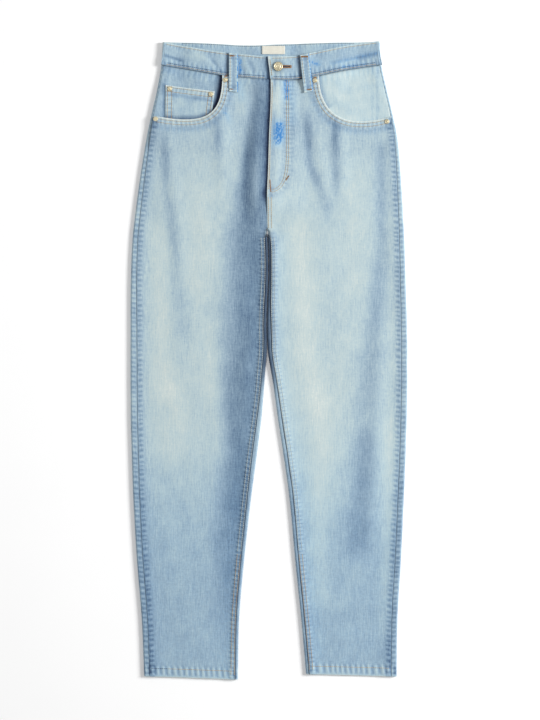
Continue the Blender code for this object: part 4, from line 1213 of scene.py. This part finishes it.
def loop_under(side, x, y):
    """The underside of a belt loop: on the band, then down over the seam to the panel."""
    seam = front_seam(x)
    on_band = band_under(side, x, np.maximum(y, seam)) + BAND_CLOTH
    on_panel = front_under(side, x, np.minimum(y, seam)) + CLOTH
    share = np.clip((front_top(x) - y) / LOOP_LENGTH, 0.0, 1.0)
    bow = LOOP_BOW * np.sin(np.pi * share) ** 2
    over_seam = np.maximum(on_band, on_panel)
    above = mix(over_seam, on_band, step(y, seam + 6, seam + 14))
    below = mix(over_seam, on_panel, 1 - step(y, seam - 14, seam - 6))
    return np.where(y > seam, above, below) + GAP + bow


def loop_looks(across_mm, down_mm, seed):
    """Relief and wear of a belt loop, by the distance from its middle and its top."""
    edge = LOOP_WIDTH / 2 - np.abs(across_mm)
    wave, where = roping(edge, down_mm, 0, 4.5, 5.5, seed)
    relief = 0.28 * bell(edge - 2.2, 1.8) + 0.14 * wave * where
    ends = np.minimum(down_mm, LOOP_LENGTH - down_mm)
    relief = relief - 0.35 * bell(ends - 4.5, 2.5) + 0.25 * bell(ends, 2.0)
    wear = 0.62 + 0.16 * bell(edge - 2.0, 1.8) - 0.10 * bell(across_mm, 3.5) + 0.08 * wave * where
    wear = wear + 0.2 * bell(ends, 2.0) - 0.1 * bell(ends - 8, 3)
    return relief, wear


def front_loop(place, side):
    v, u = np.meshgrid(np.linspace(0, 1, 60), np.linspace(-0.5, 0.5, 15), indexing="ij")
    x = mix(place.top_x, place.low_x, v) + u * LOOP_WIDTH
    y = front_top(x) - 0.5 - LOOP_LENGTH * v
    z = loop_under(side, x, y).max(axis=1, keepdims=True) + 0 * u
    relief, wear = loop_looks(u * LOOP_WIDTH, v * LOOP_LENGTH, 95)
    z = z + np.maximum(relief, -0.2)
    blue = 0.25 + 0.9 * bell(u * LOOP_WIDTH - 7.5, 2.2)
    dye_and_shade = np.stack([wear.ravel(), blue.ravel(), 0 * blue.ravel()], axis=1)
    points = np.stack([x.ravel(), y.ravel(), z.ravel()], axis=1)
    obj = piece(place.name + "_denim", points, grid_faces(60, 15), dye_and_shade)
    return cloth(obj, LOOP_CLOTH, True, rim=0.55)


def loop_face(side, x, y):
    """The height of a front loop's face where a stitch sits."""
    return loop_under(side, x, y) + LOOP_CLOTH + 0.25


def back_loop(place):
    """A belt loop that lies under the back, face down."""
    v, u = np.meshgrid(np.linspace(0, 1, 50), np.linspace(-0.5, 0.5, 13), indexing="ij")
    x = place.top_x + u * LOOP_WIDTH
    y = back_top(place.top_x) - 0.5 - LOOP_LENGTH * v
    relief, wear = loop_looks(u * LOOP_WIDTH, v * LOOP_LENGTH, 96)
    dye_and_shade = np.stack([wear.ravel(), 0.25 + 0 * wear.ravel(), 0 * wear.ravel()], axis=1)
    points = np.stack([x.ravel(), y.ravel(), 0 * x.ravel()], axis=1)
    obj = piece(place.name + "_denim", points, grid_faces(50, 13), dye_and_shade)
    return cloth(obj, LOOP_CLOTH, True, rim=0.55)


def label_patch():
    """The plain woven label inside the back waistband, turned in at its ends."""
    left, right, low, high = LABEL
    v, u = np.meshgrid(np.linspace(high, low, 16), np.linspace(left, right, 34), indexing="ij")
    x, y = u.ravel(), v.ravel()
    ends = np.minimum(x - left, right - x)
    z = raised(x, y) + BAND_CLOTH + GAP + 0.2 * bell(ends - 2, 1.4) + 0.08 * (1 + ripple(x, y, 14, 99))
    obj = piece("label_plain", np.stack([x, y, z], axis=1), grid_faces(16, 34))
    return cloth(obj, LABEL_CLOTH, True, rim=0.3)


# Threads: one stitch is modelled once, and repeated along its rows
STITCH_PITCH = 3.5
STITCH_LENGTH = 2.7
THREAD_RADIUS = 0.45


def stitch_form():
    """One plump stitch along X, 1 long and 1 thick, as points and faces."""
    bpy.ops.object.select_all(action="DESELECT")
    bpy.ops.mesh.primitive_uv_sphere_add(segments=6, ring_count=4, radius=0.5, rotation=(0, np.pi / 2, 0))
    form = bpy.context.active_object
    bpy.ops.object.transform_apply(location=False, rotation=True, scale=False)
    points = np.array([tuple(v.co) for v in form.data.vertices])
    points[:, 0] = np.sign(points[:, 0]) * np.abs(points[:, 0] * 2) ** 0.7 / 2
    faces = [list(face.vertices) for face in form.data.polygons]
    bpy.data.objects.remove(form, do_unlink=True)
    return points, faces


STITCH_POINTS, STITCH_FACES = stitch_form()


def run_of(line, face, start=1.5, end=1.5, pitch=STITCH_PITCH, length=STITCH_LENGTH):
    """Stitch ends along a line: pairs of points on the cloth's face."""
    count = max(int((line.length - start - end) / pitch), 1)
    middle = start + pitch * (np.arange(count) + 0.5)
    return ends_on(line.place(middle - length / 2), line.place(middle + length / 2), face)


def ends_on(first, second, face):
    """Pairs of points in space from pairs of points seen from above."""
    ends = []
    for flat in (first, second):
        x, y, z = face(flat[:, 0], flat[:, 1])
        ends.append(np.stack([x + 0 * z, y + 0 * z, z], axis=1))
    return np.stack(ends, axis=1)


def bartack(line, face, width, pitch=0.75):
    """Close crosswise stitches along a line."""
    at = np.arange(pitch / 2, line.length, pitch)
    half = width / 2
    return ends_on(line.beside(-half).place(at), line.beside(half).place(at), face)


def thread(name, rows, material, radius=THREAD_RADIUS):
    """One piece of all the stitches in some rows."""
    ends = np.concatenate(rows)
    middle, run = ends.mean(axis=1), ends[:, 1] - ends[:, 0]
    length = np.linalg.norm(run, axis=1, keepdims=True)
    forward = run / length
    sideways = np.stack([-forward[:, 1], forward[:, 0], 0 * forward[:, 0]], axis=1)
    sideways /= np.linalg.norm(sideways, axis=1, keepdims=True)
    upward = np.cross(forward, sideways)
    local = STITCH_POINTS[None]
    points = middle[:, None] + local[..., :1] * (forward * (length + radius))[:, None]
    points = points + local[..., 1:2] * (2 * radius * sideways)[:, None]
    points = points + local[..., 2:] * (2 * radius * upward)[:, None]
    size = len(STITCH_POINTS)
    faces = [[i + n * size for i in face] for n in range(len(ends)) for face in STITCH_FACES]
    obj = piece(name, points.reshape(-1, 3), faces)
    obj.data.materials.append(material)
    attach(obj, "root")
    return obj


def on_front(side, lift=0.12):
    def face(x, y):
        z = front_face(side, x, y) + lift
        return (*settled(side, x, y), z)
    return face


def on_band(side, lift=0.12):
    return lambda x, y: (x, y, band_face(side, x, y) + lift)


def inside_band(x, y):
    return x, y, raised(x, y) + BAND_CLOTH + 0.1


def on_loop(side, lift=0.1):
    return lambda x, y: (x, y, loop_face(side, x, y) + lift)


def on_coin(x, y):
    return x, y, coin_face(x, y) + 0.15


def under_back(x, y):
    """Stitches on the underside lie in the cloth, clear of the surface below."""
    return x, y, raised(x, y) + 0.3


def inseam_line(side, offset, top=212.0):
    edge = INNER_EDGES[side].points
    kept = edge[(edge[:, 1] < top) & (edge[:, 1] > HEM_LEVEL + 3)]
    return Line(kept).beside(-side.inward * offset)


def mouth_rows(side):
    """The two rows along a pocket mouth, inside its folded edge."""
    points = MOUTHS[side].points
    kept = points[(points[:, 1] < front_seam(points[:, 0]) - 1)]
    kept = kept[(kept[:, 0] - side.outseam(kept[:, 1])) * side.inward > 2]
    sign = 1 if side is RIGHT else -1
    return [Line(kept).beside(sign * offset) for offset in (3.6, 9.2)]


def hem_stitch(x):
    return HEM_LEVEL + HEM_DEPTH + 0 * x


def front_threads(tan, pale, brown, navy):
    rows_tan, rows_pale, rows_navy = [], [], []
    for side in (RIGHT, LEFT):
        face = on_front(side)
        rows_tan += [run_of(line, face) for line in mouth_rows(side)]
        for offset in (1.8, 7.2):
            line = inseam_line(side, offset)
            upper = Line(line.points[line.points[:, 1] > -330])
            lower = Line(line.points[line.points[:, 1] < -325])
            rows_pale.append(run_of(upper, face))
            rows_tan.append(run_of(lower, face))
        left = side.outseam(HEM_LEVEL) + side.inward * 3
        right = front_inner(side, np.array(HEM_LEVEL)) - side.inward * 2
        share = 0.2 if side is RIGHT else 0.0
        start, navy_end, tan_start, end = (mix(left, right, t) for t in (0, share, share + 0.004, 1))
        if side is RIGHT:
            rows_navy.append(run_of(across(hem_stitch, start, navy_end), face, 0, 0))
        rows_tan.append(run_of(across(hem_stitch, tan_start, end), face, 0, 1))
    face = on_front(LEFT)
    rows_tan += [run_of(FLY_STITCH, face, 2, 2), run_of(FLY_STITCH.beside(-3.6), face, 2, 2)]
    rows_tan.append(run_of(down(lambda y: fly_edge(y) + 2.6, 474, 288), face))
    for offset in (2.4, 7.4):
        rows_tan.append(run_of(down(lambda y, o=offset: front_inner(LEFT, y) + o, 279, 222), face))
    thread("thread_front_tan", rows_tan, tan)
    thread("thread_front_pale", rows_pale, pale)
    thread("thread_hem_navy", rows_navy, navy)
    tacks = [bartack(Line([(1.6, 307), (3.0, 286)]), face, 2.4),
             bartack(Line([(28.5, 306), (33.8, 314)]), face, 2.4)]
    for side in (RIGHT, LEFT):
        near, far = mouth_rows(side)
        tacks.append(bartack(Line([near.points[0], far.points[0]]), on_front(side), 2.6))
    thread("thread_front_tacks", tacks, brown, 0.32)


def band_threads(tan, brown, navy):
    rows_tan, rows_navy = [], []
    for side in (RIGHT, LEFT):
        face = on_band(side)
        first = side.outer(520.0) + side.inward * 6
        last = -3.6 if side is RIGHT else 3.4
        rows_tan.append(run_of(across(lambda x: front_top(x) - 3.0, first, last), face))
        rows_tan.append(run_of(across(lambda x: front_seam(x) + 2.2, first, last), face))
        rows_navy.append(run_of(across(lambda x: front_seam(x) + 5.0, first, last), face, 3))
    rows_tan.append(run_of(down(lambda y: fly_edge(y) + 2.8, 513, 482), on_band(LEFT)))
    rows_navy.append(run_of(across(lambda x: back_top(x) - 1.6, -150, 150), inside_band))
    under = across(lambda x: back_top(x) - 3.0, -176, 184)
    low = across(lambda x: back_seam(x) + 2.4, -176, 184)
    rows_tan += [run_of(under, under_back), run_of(low, under_back)]
    thread("thread_band_tan", rows_tan, tan)
    thread("thread_band_navy", rows_navy, navy)
    x, y = BUTTON_PLACE
    tip = SLIT_END + 1.4
    lift = on_band(LEFT, 0.1)
    sides = [bartack(Line([(x + 3.4, y + s * 1.9), (tip, y + s * 1.5)]), lift, 2.0) for s in (-1, 1)]
    turns = np.linspace(0.9, 2 * np.pi - 0.9, 26)
    ring = Line(np.stack([x + 4.7 * np.cos(turns), y + 4.7 * np.sin(turns)], axis=1))
    sides.append(bartack(ring, lift, 2.0))
    sides.append(bartack(Line([(tip + 0.2, y - 2.6), (tip + 0.2, y + 2.6)]), lift, 2.6))
    thread("thread_buttonhole", sides, brown, 0.34)


def loop_threads(tan, brown):
    rows, tacks = [], []
    for place, side in zip(FRONT_LOOPS, (RIGHT, LEFT)):
        face = on_loop(side)
        for offset in (-4.9, 4.9):
            top = front_top(place.top_x) - 3
            line = Line([(place.top_x + offset, top), (place.low_x + offset, top - LOOP_LENGTH + 6)])
            rows.append(run_of(line, face, pitch=3.2, length=2.4))
        for down_mm in (4.0, LOOP_LENGTH - 4.0):
            middle = mix(place.top_x, place.low_x, down_mm / LOOP_LENGTH)
            y = front_top(middle) - 0.5 - down_mm
            tacks.append(bartack(Line([(middle - 6.4, y), (middle + 6.4, y)]), face, 2.8))
    for place in BACK_LOOPS:
        top = back_top(place.top_x) - 3
        for offset in (-4.9, 4.9):
            x = place.top_x + offset
            line = Line([(x, top), (x, top - LOOP_LENGTH + 6)])
            rows.append(run_of(line, under_back, pitch=3.2, length=2.4))
    thread("thread_loops", rows, tan, 0.38)
    thread("thread_loop_tacks", tacks, brown, 0.32)


def pocket_threads(tan):
    top, outer, inner = coin_edges()
    beside = ((top, -3.0), (top, -10.0), (outer, 3.2), (outer, 10.4), (inner, -3.2), (inner, -9.4))
    rows = [run_of(line.beside(offset), on_coin) for line, offset in beside]
    for side in (RIGHT, LEFT):
        outline = Line(pocket_outline(side))
        for offset in (2.4, 8.4):
            rows.append(run_of(outline.beside(offset), under_back))
        left, right = outline.points[0], outline.points[-1]
        for depth in (12.0, 17.0):
            rows.append(run_of(Line([left + (3, -depth), right + (-3, -depth)]), under_back))
        for offset in (2.2, 7.2):
            first = CENTRE_LINE - side.inward * 4
            last = side.outer(YOKE_LEVEL) + side.inward * 8
            rows.append(run_of(across(lambda x, o=offset: yoke_seam(x) - o, first, last), under_back))
    for offset in (2.4, 7.4):
        rows.append(run_of(down(lambda y, o=offset: CENTRE_LINE + o + 0 * y, 430, 230), under_back))
    thread("thread_pockets", rows, tan)


# Hard pieces, modelled from a disc
def start_disc(radius, low, high, place, sides):
    """A short upright cylinder in edit mode, with its top face selected."""
    bpy.ops.object.select_all(action="DESELECT")
    middle = (place[0] * MM, place[1] * MM, (low + high) / 2 * MM)
    depth = (high - low) * MM
    bpy.ops.mesh.primitive_cylinder_add(vertices=sides, radius=radius * MM, depth=depth, location=middle)
    obj = bpy.context.active_object
    bpy.ops.object.transform_apply(location=True, rotation=True, scale=True)
    select_end(obj, 1)
    return obj


def select_end(obj, direction):
    """Selects the one face at the top or bottom, in edit mode."""
    if bpy.context.mode == "EDIT_MESH":
        bpy.ops.object.mode_set(mode="OBJECT")
    faces = obj.data.polygons
    chosen = max(faces, key=lambda face: direction * face.center.z + 0.001 * abs(face.normal.z))
    for part in (*obj.data.vertices, *obj.data.edges, *faces):
        part.select = False
    chosen.select = True
    bpy.ops.object.mode_set(mode="EDIT")
    bpy.ops.mesh.select_mode(type="FACE")


def inset(width, rise=0.0):
    """Insets the selected end face and moves what is inside it up."""
    bpy.ops.mesh.inset(thickness=width * MM, depth=0)
    if rise:
        bpy.ops.transform.translate(value=(0, 0, rise * MM))


def end_disc(obj, name, node, width, material):
    """Leaves edit mode and finishes the piece with small bevels."""
    bpy.ops.object.mode_set(mode="OBJECT")
    obj.name = name
    obj.data.name = name
    edge = obj.modifiers.new("edge", "BEVEL")
    edge.width = width * MM
    edge.segments = 2
    edge.limit_method = "ANGLE"
    edge.angle_limit = np.radians(20)
    apply_all(obj)
    obj.data.shade_smooth()
    obj.data.materials.append(material)
    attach(obj, "root")
    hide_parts(node)
    return obj


def button(material):
    """The shank button, with a rolled rim, a shallow dish and a small raised ring."""
    low, high = (corner[2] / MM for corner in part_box("button"))
    head = high - 2.4
    obj = start_disc(8.0, head, head + 1.1, BUTTON_PLACE, 48)
    for width, rise in ((0.35, 0.75), (0.55, 0.45), (0.9, 0.05), (0.5, -0.45), (1.7, -0.1), (0.4, 0.3),
                        (0.6, 0.0), (0.4, -0.25)):
        inset(width, rise)
    select_end(obj, -1)
    inset(5.0)
    bpy.ops.mesh.extrude_region_move(TRANSFORM_OT_translate={"value": (0, 0, (low - head) * MM)})
    return end_disc(obj, "button_metal", "button", 0.12, material)


def rivets(material):
    """Each rivet has a domed flange with a nub in its middle."""
    for node in sorted(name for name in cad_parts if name.startswith("rivet")):
        low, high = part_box(node)
        place = [(low[k] + high[k]) / 2 / MM for k in (0, 1)]
        seat = low[2] / MM
        obj = start_disc(4.1, seat, seat + 0.55, place, 28)
        for width, rise in ((0.35, 0.35), (0.9, 0.22), (1.2, -0.18), (0.25, 0.0), (0.12, 0.62), (0.3, 0.2)):
            inset(width, rise)
        end_disc(obj, node + "_metal", node, 0.1, material)


# Materials
def add(tree, kind, inputs=(), **settings):
    """A node with its settings, its inputs given as values or as sockets to link from."""
    node = tree.nodes.new(kind)
    for key, value in settings.items():
        setattr(node, key, value)
    for key, value in dict(inputs).items():
        if isinstance(value, bpy.types.NodeSocket):
            tree.links.new(value, node.inputs[key])
        else:
            node.inputs[key].default_value = value
    return node


def sums(tree, operation, first, second):
    return add(tree, "ShaderNodeMath", {0: first, 1: second}, operation=operation).outputs[0]


def blended(tree, factor, first, second, blend="MIX"):
    """A mix of two colours. Sockets 6 and 7 of the node are its two colours."""
    inputs = {"Factor": factor, 6: first, 7: second}
    return add(tree, "ShaderNodeMix", inputs, data_type="RGBA", blend_type=blend).outputs[2]


def new_group(name, inputs, outputs):
    """A node group with named float inputs, and outputs given by their socket types."""
    tree = bpy.data.node_groups.new(name, "ShaderNodeTree")
    for label, value in inputs.items():
        socket = tree.interface.new_socket(label, in_out="INPUT", socket_type="NodeSocketFloat")
        socket.default_value = value
    for label, kind in outputs.items():
        tree.interface.new_socket(label, in_out="OUTPUT", socket_type=kind)
    entry = tree.nodes.new("NodeGroupInput")
    leave = tree.nodes.new("NodeGroupOutput")
    return tree, entry, leave


def stretched_noise(tree, scale, detail, roughness=0.5):
    """Noise on object coordinates, with a scale along each axis in features a metre."""
    coords = add(tree, "ShaderNodeTexCoord").outputs["Object"]
    mapping = add(tree, "ShaderNodeMapping", {"Vector": coords, "Scale": scale})
    inputs = {"Vector": mapping.outputs[0], "Scale": 1.0, "Detail": detail, "Roughness": roughness}
    return add(tree, "ShaderNodeTexNoise", inputs).outputs["Fac"]


def weave_group():
    """Twill weave: its height, and the uneven lightness of its yarns."""
    made = {"Height": "NodeSocketFloat", "Tone": "NodeSocketFloat"}
    tree, entry, leave = new_group("twill_weave", {"Yarn": 1.0}, made)
    coords = add(tree, "ShaderNodeTexCoord").outputs["Object"]
    turned = add(tree, "ShaderNodeMapping", {"Vector": coords, "Rotation": (0, 0, 1.1)})
    ribs = add(tree, "ShaderNodeTexWave", {"Vector": turned.outputs[0], "Scale": 270.0, "Distortion": 1.6,
                                           "Detail": 1.0, "Detail Scale": 2.0})
    slub = stretched_noise(tree, (1300, 55, 400), 2.0)
    cross = stretched_noise(tree, (90, 1500, 400), 1.0)
    grain = stretched_noise(tree, (1500, 1500, 1500), 2.0)
    fine = sums(tree, "MULTIPLY", ribs.outputs["Fac"], 0.45)
    fine = sums(tree, "ADD", fine, sums(tree, "MULTIPLY", grain, 0.5))
    height = sums(tree, "ADD", fine, sums(tree, "MULTIPLY", slub, 0.6))
    height = sums(tree, "MULTIPLY", height, entry.outputs["Yarn"])
    tone = sums(tree, "ADD", sums(tree, "MULTIPLY", slub, 0.55), sums(tree, "MULTIPLY", cross, 0.2))
    tone = sums(tree, "ADD", tone, sums(tree, "MULTIPLY", grain, 0.25))
    tree.links.new(height, leave.inputs["Height"])
    tree.links.new(tone, leave.inputs["Tone"])
    return tree


INDIGO = (  # share of wear, and the colour as it looks, from 0 to 255
    (0.00, (38, 52, 82)),
    (0.20, (76, 99, 127)),
    (0.35, (107, 132, 155)),
    (0.50, (136, 159, 178)),
    (0.62, (156, 178, 191)),
    (0.74, (175, 194, 199)),
    (0.88, (191, 204, 203)),
    (1.00, (208, 215, 211)),
    (1.20, (236, 238, 233)),
)
BLUER = (0.74, 0.96, 1.16, 1.0)
PROTECTED_BLUE = (66, 126, 186)
PROTECTED_FROM = 0.5
# Navy mixed in as painted shade in deep folds, seams and grooves
PAINTED_SHADE_NAVY = (26, 36, 60)
MOST_WEAR = 1.25


def seen(colour):
    """A colour as it looks, from 0 to 255, in linear light."""
    share = np.array(colour) / 255
    linear = np.where(share < 0.04045, share / 12.92, ((share + 0.055) / 1.055) ** 2.4)
    return (*linear.tolist(), 1.0)


def dye_and_shade_group():
    """Washed indigo: its colour from wear, the protected blue, and a painted navy shade in deep folds,
    seams and grooves.
    """
    given = {"Wear": 0.6, "Blue": 0.0, "Painted shade": 0.0}
    tree, entry, leave = new_group("washed_indigo_and_shade", given, {"Color": "NodeSocketColor"})
    share = sums(tree, "DIVIDE", entry.outputs["Wear"], MOST_WEAR)
    ramp = add(tree, "ShaderNodeValToRGB", {"Fac": share})
    marks = ramp.color_ramp.elements
    for n, (wear, colour) in enumerate(INDIGO):
        mark = marks[n] if n < 2 else marks.new(wear / MOST_WEAR)
        mark.position = wear / MOST_WEAR
        mark.color = seen(colour)
    bluer = blended(tree, entry.outputs["Blue"], ramp.outputs[0], BLUER, "MULTIPLY")
    strong = add(tree, "ShaderNodeMapRange", {"Value": entry.outputs["Blue"], "From Min": PROTECTED_FROM})
    deep = blended(tree, strong.outputs[0], bluer, seen(PROTECTED_BLUE))
    with_painted_shade = blended(tree, entry.outputs["Painted shade"], deep, seen(PAINTED_SHADE_NAVY))
    tree.links.new(with_painted_shade, leave.inputs["Color"])
    return tree


def plain_material(name):
    material = bpy.data.materials.new(name)
    material.use_nodes = True
    return material, material.node_tree, material.node_tree.nodes["Principled BSDF"]


def bumped(tree, height, distance, strength):
    inputs = {"Height": height, "Distance": distance, "Strength": strength}
    return add(tree, "ShaderNodeBump", inputs).outputs[0]


def denim(weave, dye_and_shade):
    """Washed denim. The channels wear, blue and painted_shade come from the dye_and_shade colour stored on
    each piece.
    """
    material, tree, shader = plain_material("denim_washed")
    stored = add(tree, "ShaderNodeAttribute", attribute_name="dye_and_shade").outputs["Color"]
    channels = add(tree, "ShaderNodeSeparateColor", {"Color": stored}).outputs
    twill = add(tree, "ShaderNodeGroup", node_tree=weave)
    cloudy = stretched_noise(tree, (70, 45, 70), 3.0, 0.6)
    mottle = stretched_noise(tree, (330, 240, 330), 2.0, 0.6)
    tone = sums(tree, "MULTIPLY", sums(tree, "SUBTRACT", twill.outputs["Tone"], 0.5), 0.75)
    clouds = sums(tree, "MULTIPLY", sums(tree, "SUBTRACT", cloudy, 0.5), 0.12)
    spots = sums(tree, "MULTIPLY", sums(tree, "SUBTRACT", mottle, 0.5), 0.22)
    uneven = sums(tree, "ADD", sums(tree, "ADD", tone, clouds), spots)
    wear = sums(tree, "ADD", channels["Red"], uneven)
    span = {"Value": mottle, "From Min": 0.3, "From Max": 0.62, "To Min": 0.35}
    patchy = add(tree, "ShaderNodeMapRange", span)
    blue = sums(tree, "MULTIPLY", channels["Green"], patchy.outputs[0])
    colour = add(tree, "ShaderNodeGroup", node_tree=dye_and_shade)
    tree.links.new(wear, colour.inputs["Wear"])
    tree.links.new(blue, colour.inputs["Blue"])
    tree.links.new(channels["Blue"], colour.inputs["Painted shade"])
    tree.links.new(colour.outputs["Color"], shader.inputs["Base Color"])
    span = {"Value": twill.outputs["Tone"], "To Min": 0.82, "To Max": 0.96}
    rough = add(tree, "ShaderNodeMapRange", span)
    tree.links.new(rough.outputs[0], shader.inputs["Roughness"])
    tree.links.new(bumped(tree, twill.outputs["Height"], 0.0004, 0.55), shader.inputs["Normal"])
    shader.inputs["Specular IOR Level"].default_value = 0.2
    shader.inputs["Sheen Weight"].default_value = 0.12
    return material


def yarn(name, colour, dark):
    """Sewing thread with its twist and uneven colour."""
    material, tree, shader = plain_material(name)
    twist = stretched_noise(tree, (900, 900, 900), 2.0)
    shade = stretched_noise(tree, (60, 60, 60), 2.0)
    share = sums(tree, "MULTIPLY", sums(tree, "ADD", twist, shade), 0.5)
    range_ = add(tree, "ShaderNodeMapRange", {"Value": share, "From Min": 0.35, "From Max": 0.65})
    tones = blended(tree, range_.outputs[0], seen(dark), seen(colour))
    tree.links.new(tones, shader.inputs["Base Color"])
    tree.links.new(bumped(tree, twist, 0.0002, 0.6), shader.inputs["Normal"])
    shader.inputs["Roughness"].default_value = 0.7
    return material


def metal(name, colour, dark, rough):
    """Worn plated metal with fine scratches and uneven darker stains."""
    material, tree, shader = plain_material(name)
    scratches = stretched_noise(tree, (2600, 300, 900), 3.0)
    stains = stretched_noise(tree, (420, 420, 420), 3.0)
    tones = blended(tree, stains, seen(dark), seen(colour))
    tree.links.new(tones, shader.inputs["Base Color"])
    span = {"Value": scratches, "To Min": rough - 0.1, "To Max": rough + 0.18}
    polish = add(tree, "ShaderNodeMapRange", span)
    tree.links.new(polish.outputs[0], shader.inputs["Roughness"])
    tree.links.new(bumped(tree, scratches, 0.0001, 0.25), shader.inputs["Normal"])
    shader.inputs["Metallic"].default_value = 0.85
    return material


def woven(name, colour, dark):
    """Fine flat weave of a label or a zip tape."""
    material, tree, shader = plain_material(name)
    coords = add(tree, "ShaderNodeTexCoord").outputs["Object"]
    inputs = {"Vector": coords, "Scale": 900.0, "Mortar Size": 0.03}
    inputs.update({"Color1": seen(colour), "Color2": seen(dark), "Mortar": seen(dark)})
    threads = add(tree, "ShaderNodeTexBrick", inputs)
    uneven = stretched_noise(tree, (150, 500, 150), 2.0)
    tones = blended(tree, uneven, threads.outputs["Color"], seen(colour))
    tree.links.new(tones, shader.inputs["Base Color"])
    tree.links.new(bumped(tree, uneven, 0.0002, 0.5), shader.inputs["Normal"])
    shader.inputs["Roughness"].default_value = 0.8
    return material


def paper(name):
    """The pale studio floor, very slightly uneven."""
    material, tree, shader = plain_material(name)
    uneven = stretched_noise(tree, (8, 8, 8), 2.0)
    tones = blended(tree, uneven, (0.94, 0.94, 0.94, 1), (0.96, 0.96, 0.96, 1))
    tree.links.new(tones, shader.inputs["Base Color"])
    shader.inputs["Roughness"].default_value = 0.9
    shader.inputs["Specular IOR Level"].default_value = 0.0
    return material


# Studio
PHOTO_HEIGHT = 1.224
PHOTO_MIDDLE = (0.0017, 0.0008)
LENS = 85.0
SENSOR = 36.0
WORLD_STRENGTH = 0.37
Lamp = namedtuple("Lamp", "name place size power")
LAMPS = (
    Lamp("key", (3.4, 0.75, 2.0), 1.3, 196.0),
    Lamp("top", (-0.9, 0.3, 3.0), 2.0, 24.0),
)


def studio():
    """The floor, the soft lights and the camera straight above."""
    bpy.ops.object.select_all(action="DESELECT")
    bpy.ops.mesh.primitive_plane_add(size=8, location=(0, 0, 0))
    floor = bpy.context.active_object
    floor.name = "floor"
    floor.data.materials.append(paper("floor_paper"))
    world = bpy.data.worlds.new("studio")
    world.use_nodes = True
    background = world.node_tree.nodes["Background"]
    background.inputs["Color"].default_value = (1.0, 1.0, 1.0, 1.0)
    background.inputs["Strength"].default_value = WORLD_STRENGTH
    bpy.context.scene.world = world
    for lamp in LAMPS:
        light = bpy.data.lights.new(lamp.name, "AREA")
        light.size = lamp.size
        light.energy = lamp.power
        obj = bpy.data.objects.new(lamp.name, light)
        obj.location = lamp.place
        obj.rotation_euler = (-Vector(lamp.place)).to_track_quat("-Z", "Y").to_euler()
        bpy.context.scene.collection.objects.link(obj)
    lens = bpy.data.cameras.new("camera")
    lens.lens = LENS
    lens.sensor_width = SENSOR
    camera = bpy.data.objects.new("camera", lens)
    camera.location = (*PHOTO_MIDDLE, PHOTO_HEIGHT * LENS / SENSOR + 0.006)
    bpy.context.scene.collection.objects.link(camera)
    bpy.context.scene.camera = camera
    bpy.context.scene.view_settings.view_transform = "Standard"


# Flat cut of each sheet: width and length in metres, and its area where it isn't a rectangle
Cut = namedtuple("Cut", "width length area rests_on")


def dress():
    """Every piece of cloth with its material."""
    washed = denim(weave_group(), dye_and_shade_group())
    makers = {
        "back_right": lambda: back_panel(RIGHT, "back_right_denim"),
        "back_left": lambda: back_panel(LEFT, "back_left_denim"),
        "yoke_right": lambda: yoke(RIGHT, "yoke_right_denim"),
        "yoke_left": lambda: yoke(LEFT, "yoke_left_denim"),
        "front_right": lambda: front_panel(RIGHT, "front_right_denim"),
        "front_left": lambda: front_panel(LEFT, "front_left_denim"),
        "facing_right": lambda: facing(RIGHT, "facing_right_denim"),
        "facing_left": lambda: facing(LEFT, "facing_left_denim"),
        "coin_pocket": coin_pocket,
        "back_pocket_right": lambda: back_pocket(RIGHT, "back_pocket_right_denim"),
        "back_pocket_left": lambda: back_pocket(LEFT, "back_pocket_left_denim"),
        "fly_shield": shield,
        "waistband": waistband,
    }
    for place, side in zip(FRONT_LOOPS, (RIGHT, LEFT)):
        makers[place.name] = lambda place=place, side=side: front_loop(place, side)
    for place in BACK_LOOPS:
        makers[place.name] = lambda place=place: back_loop(place)
    for node, make in makers.items():
        obj = make()
        obj.name = node + "_denim"
        finish_cloth(obj, washed, node)
    patch_obj = label_patch()
    patch_obj.data.materials.append(woven("label_cloth", (224, 222, 210), (186, 184, 172)))
    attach(patch_obj, "root")
    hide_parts("label")


def trim():
    """Threads, metal pieces and the finish of the nodes that stay."""
    tan = yarn("thread_tan", (206, 178, 132), (150, 120, 84))
    pale = yarn("thread_pale", (206, 212, 202), (160, 168, 166))
    brown = yarn("thread_brown", (176, 132, 84), (120, 84, 52))
    navy = yarn("thread_navy", (58, 72, 104), (34, 44, 70))
    front_threads(tan, pale, brown, navy)
    band_threads(tan, brown, navy)
    loop_threads(tan, brown)
    pocket_threads(tan)
    gold = metal("pale_gold", (226, 218, 192), (176, 164, 126), 0.38)
    button(gold)
    rivets(gold)
    for node, material in (("zip", woven("zip_tape_cloth", (110, 130, 152), (70, 86, 108))),
                           ("zip_slider", metal("steel", (176, 176, 176), (120, 120, 122), 0.35))):
        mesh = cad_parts[node].data
        mesh.materials.clear()
        mesh.materials.append(material)


studio()
dress()
trim()
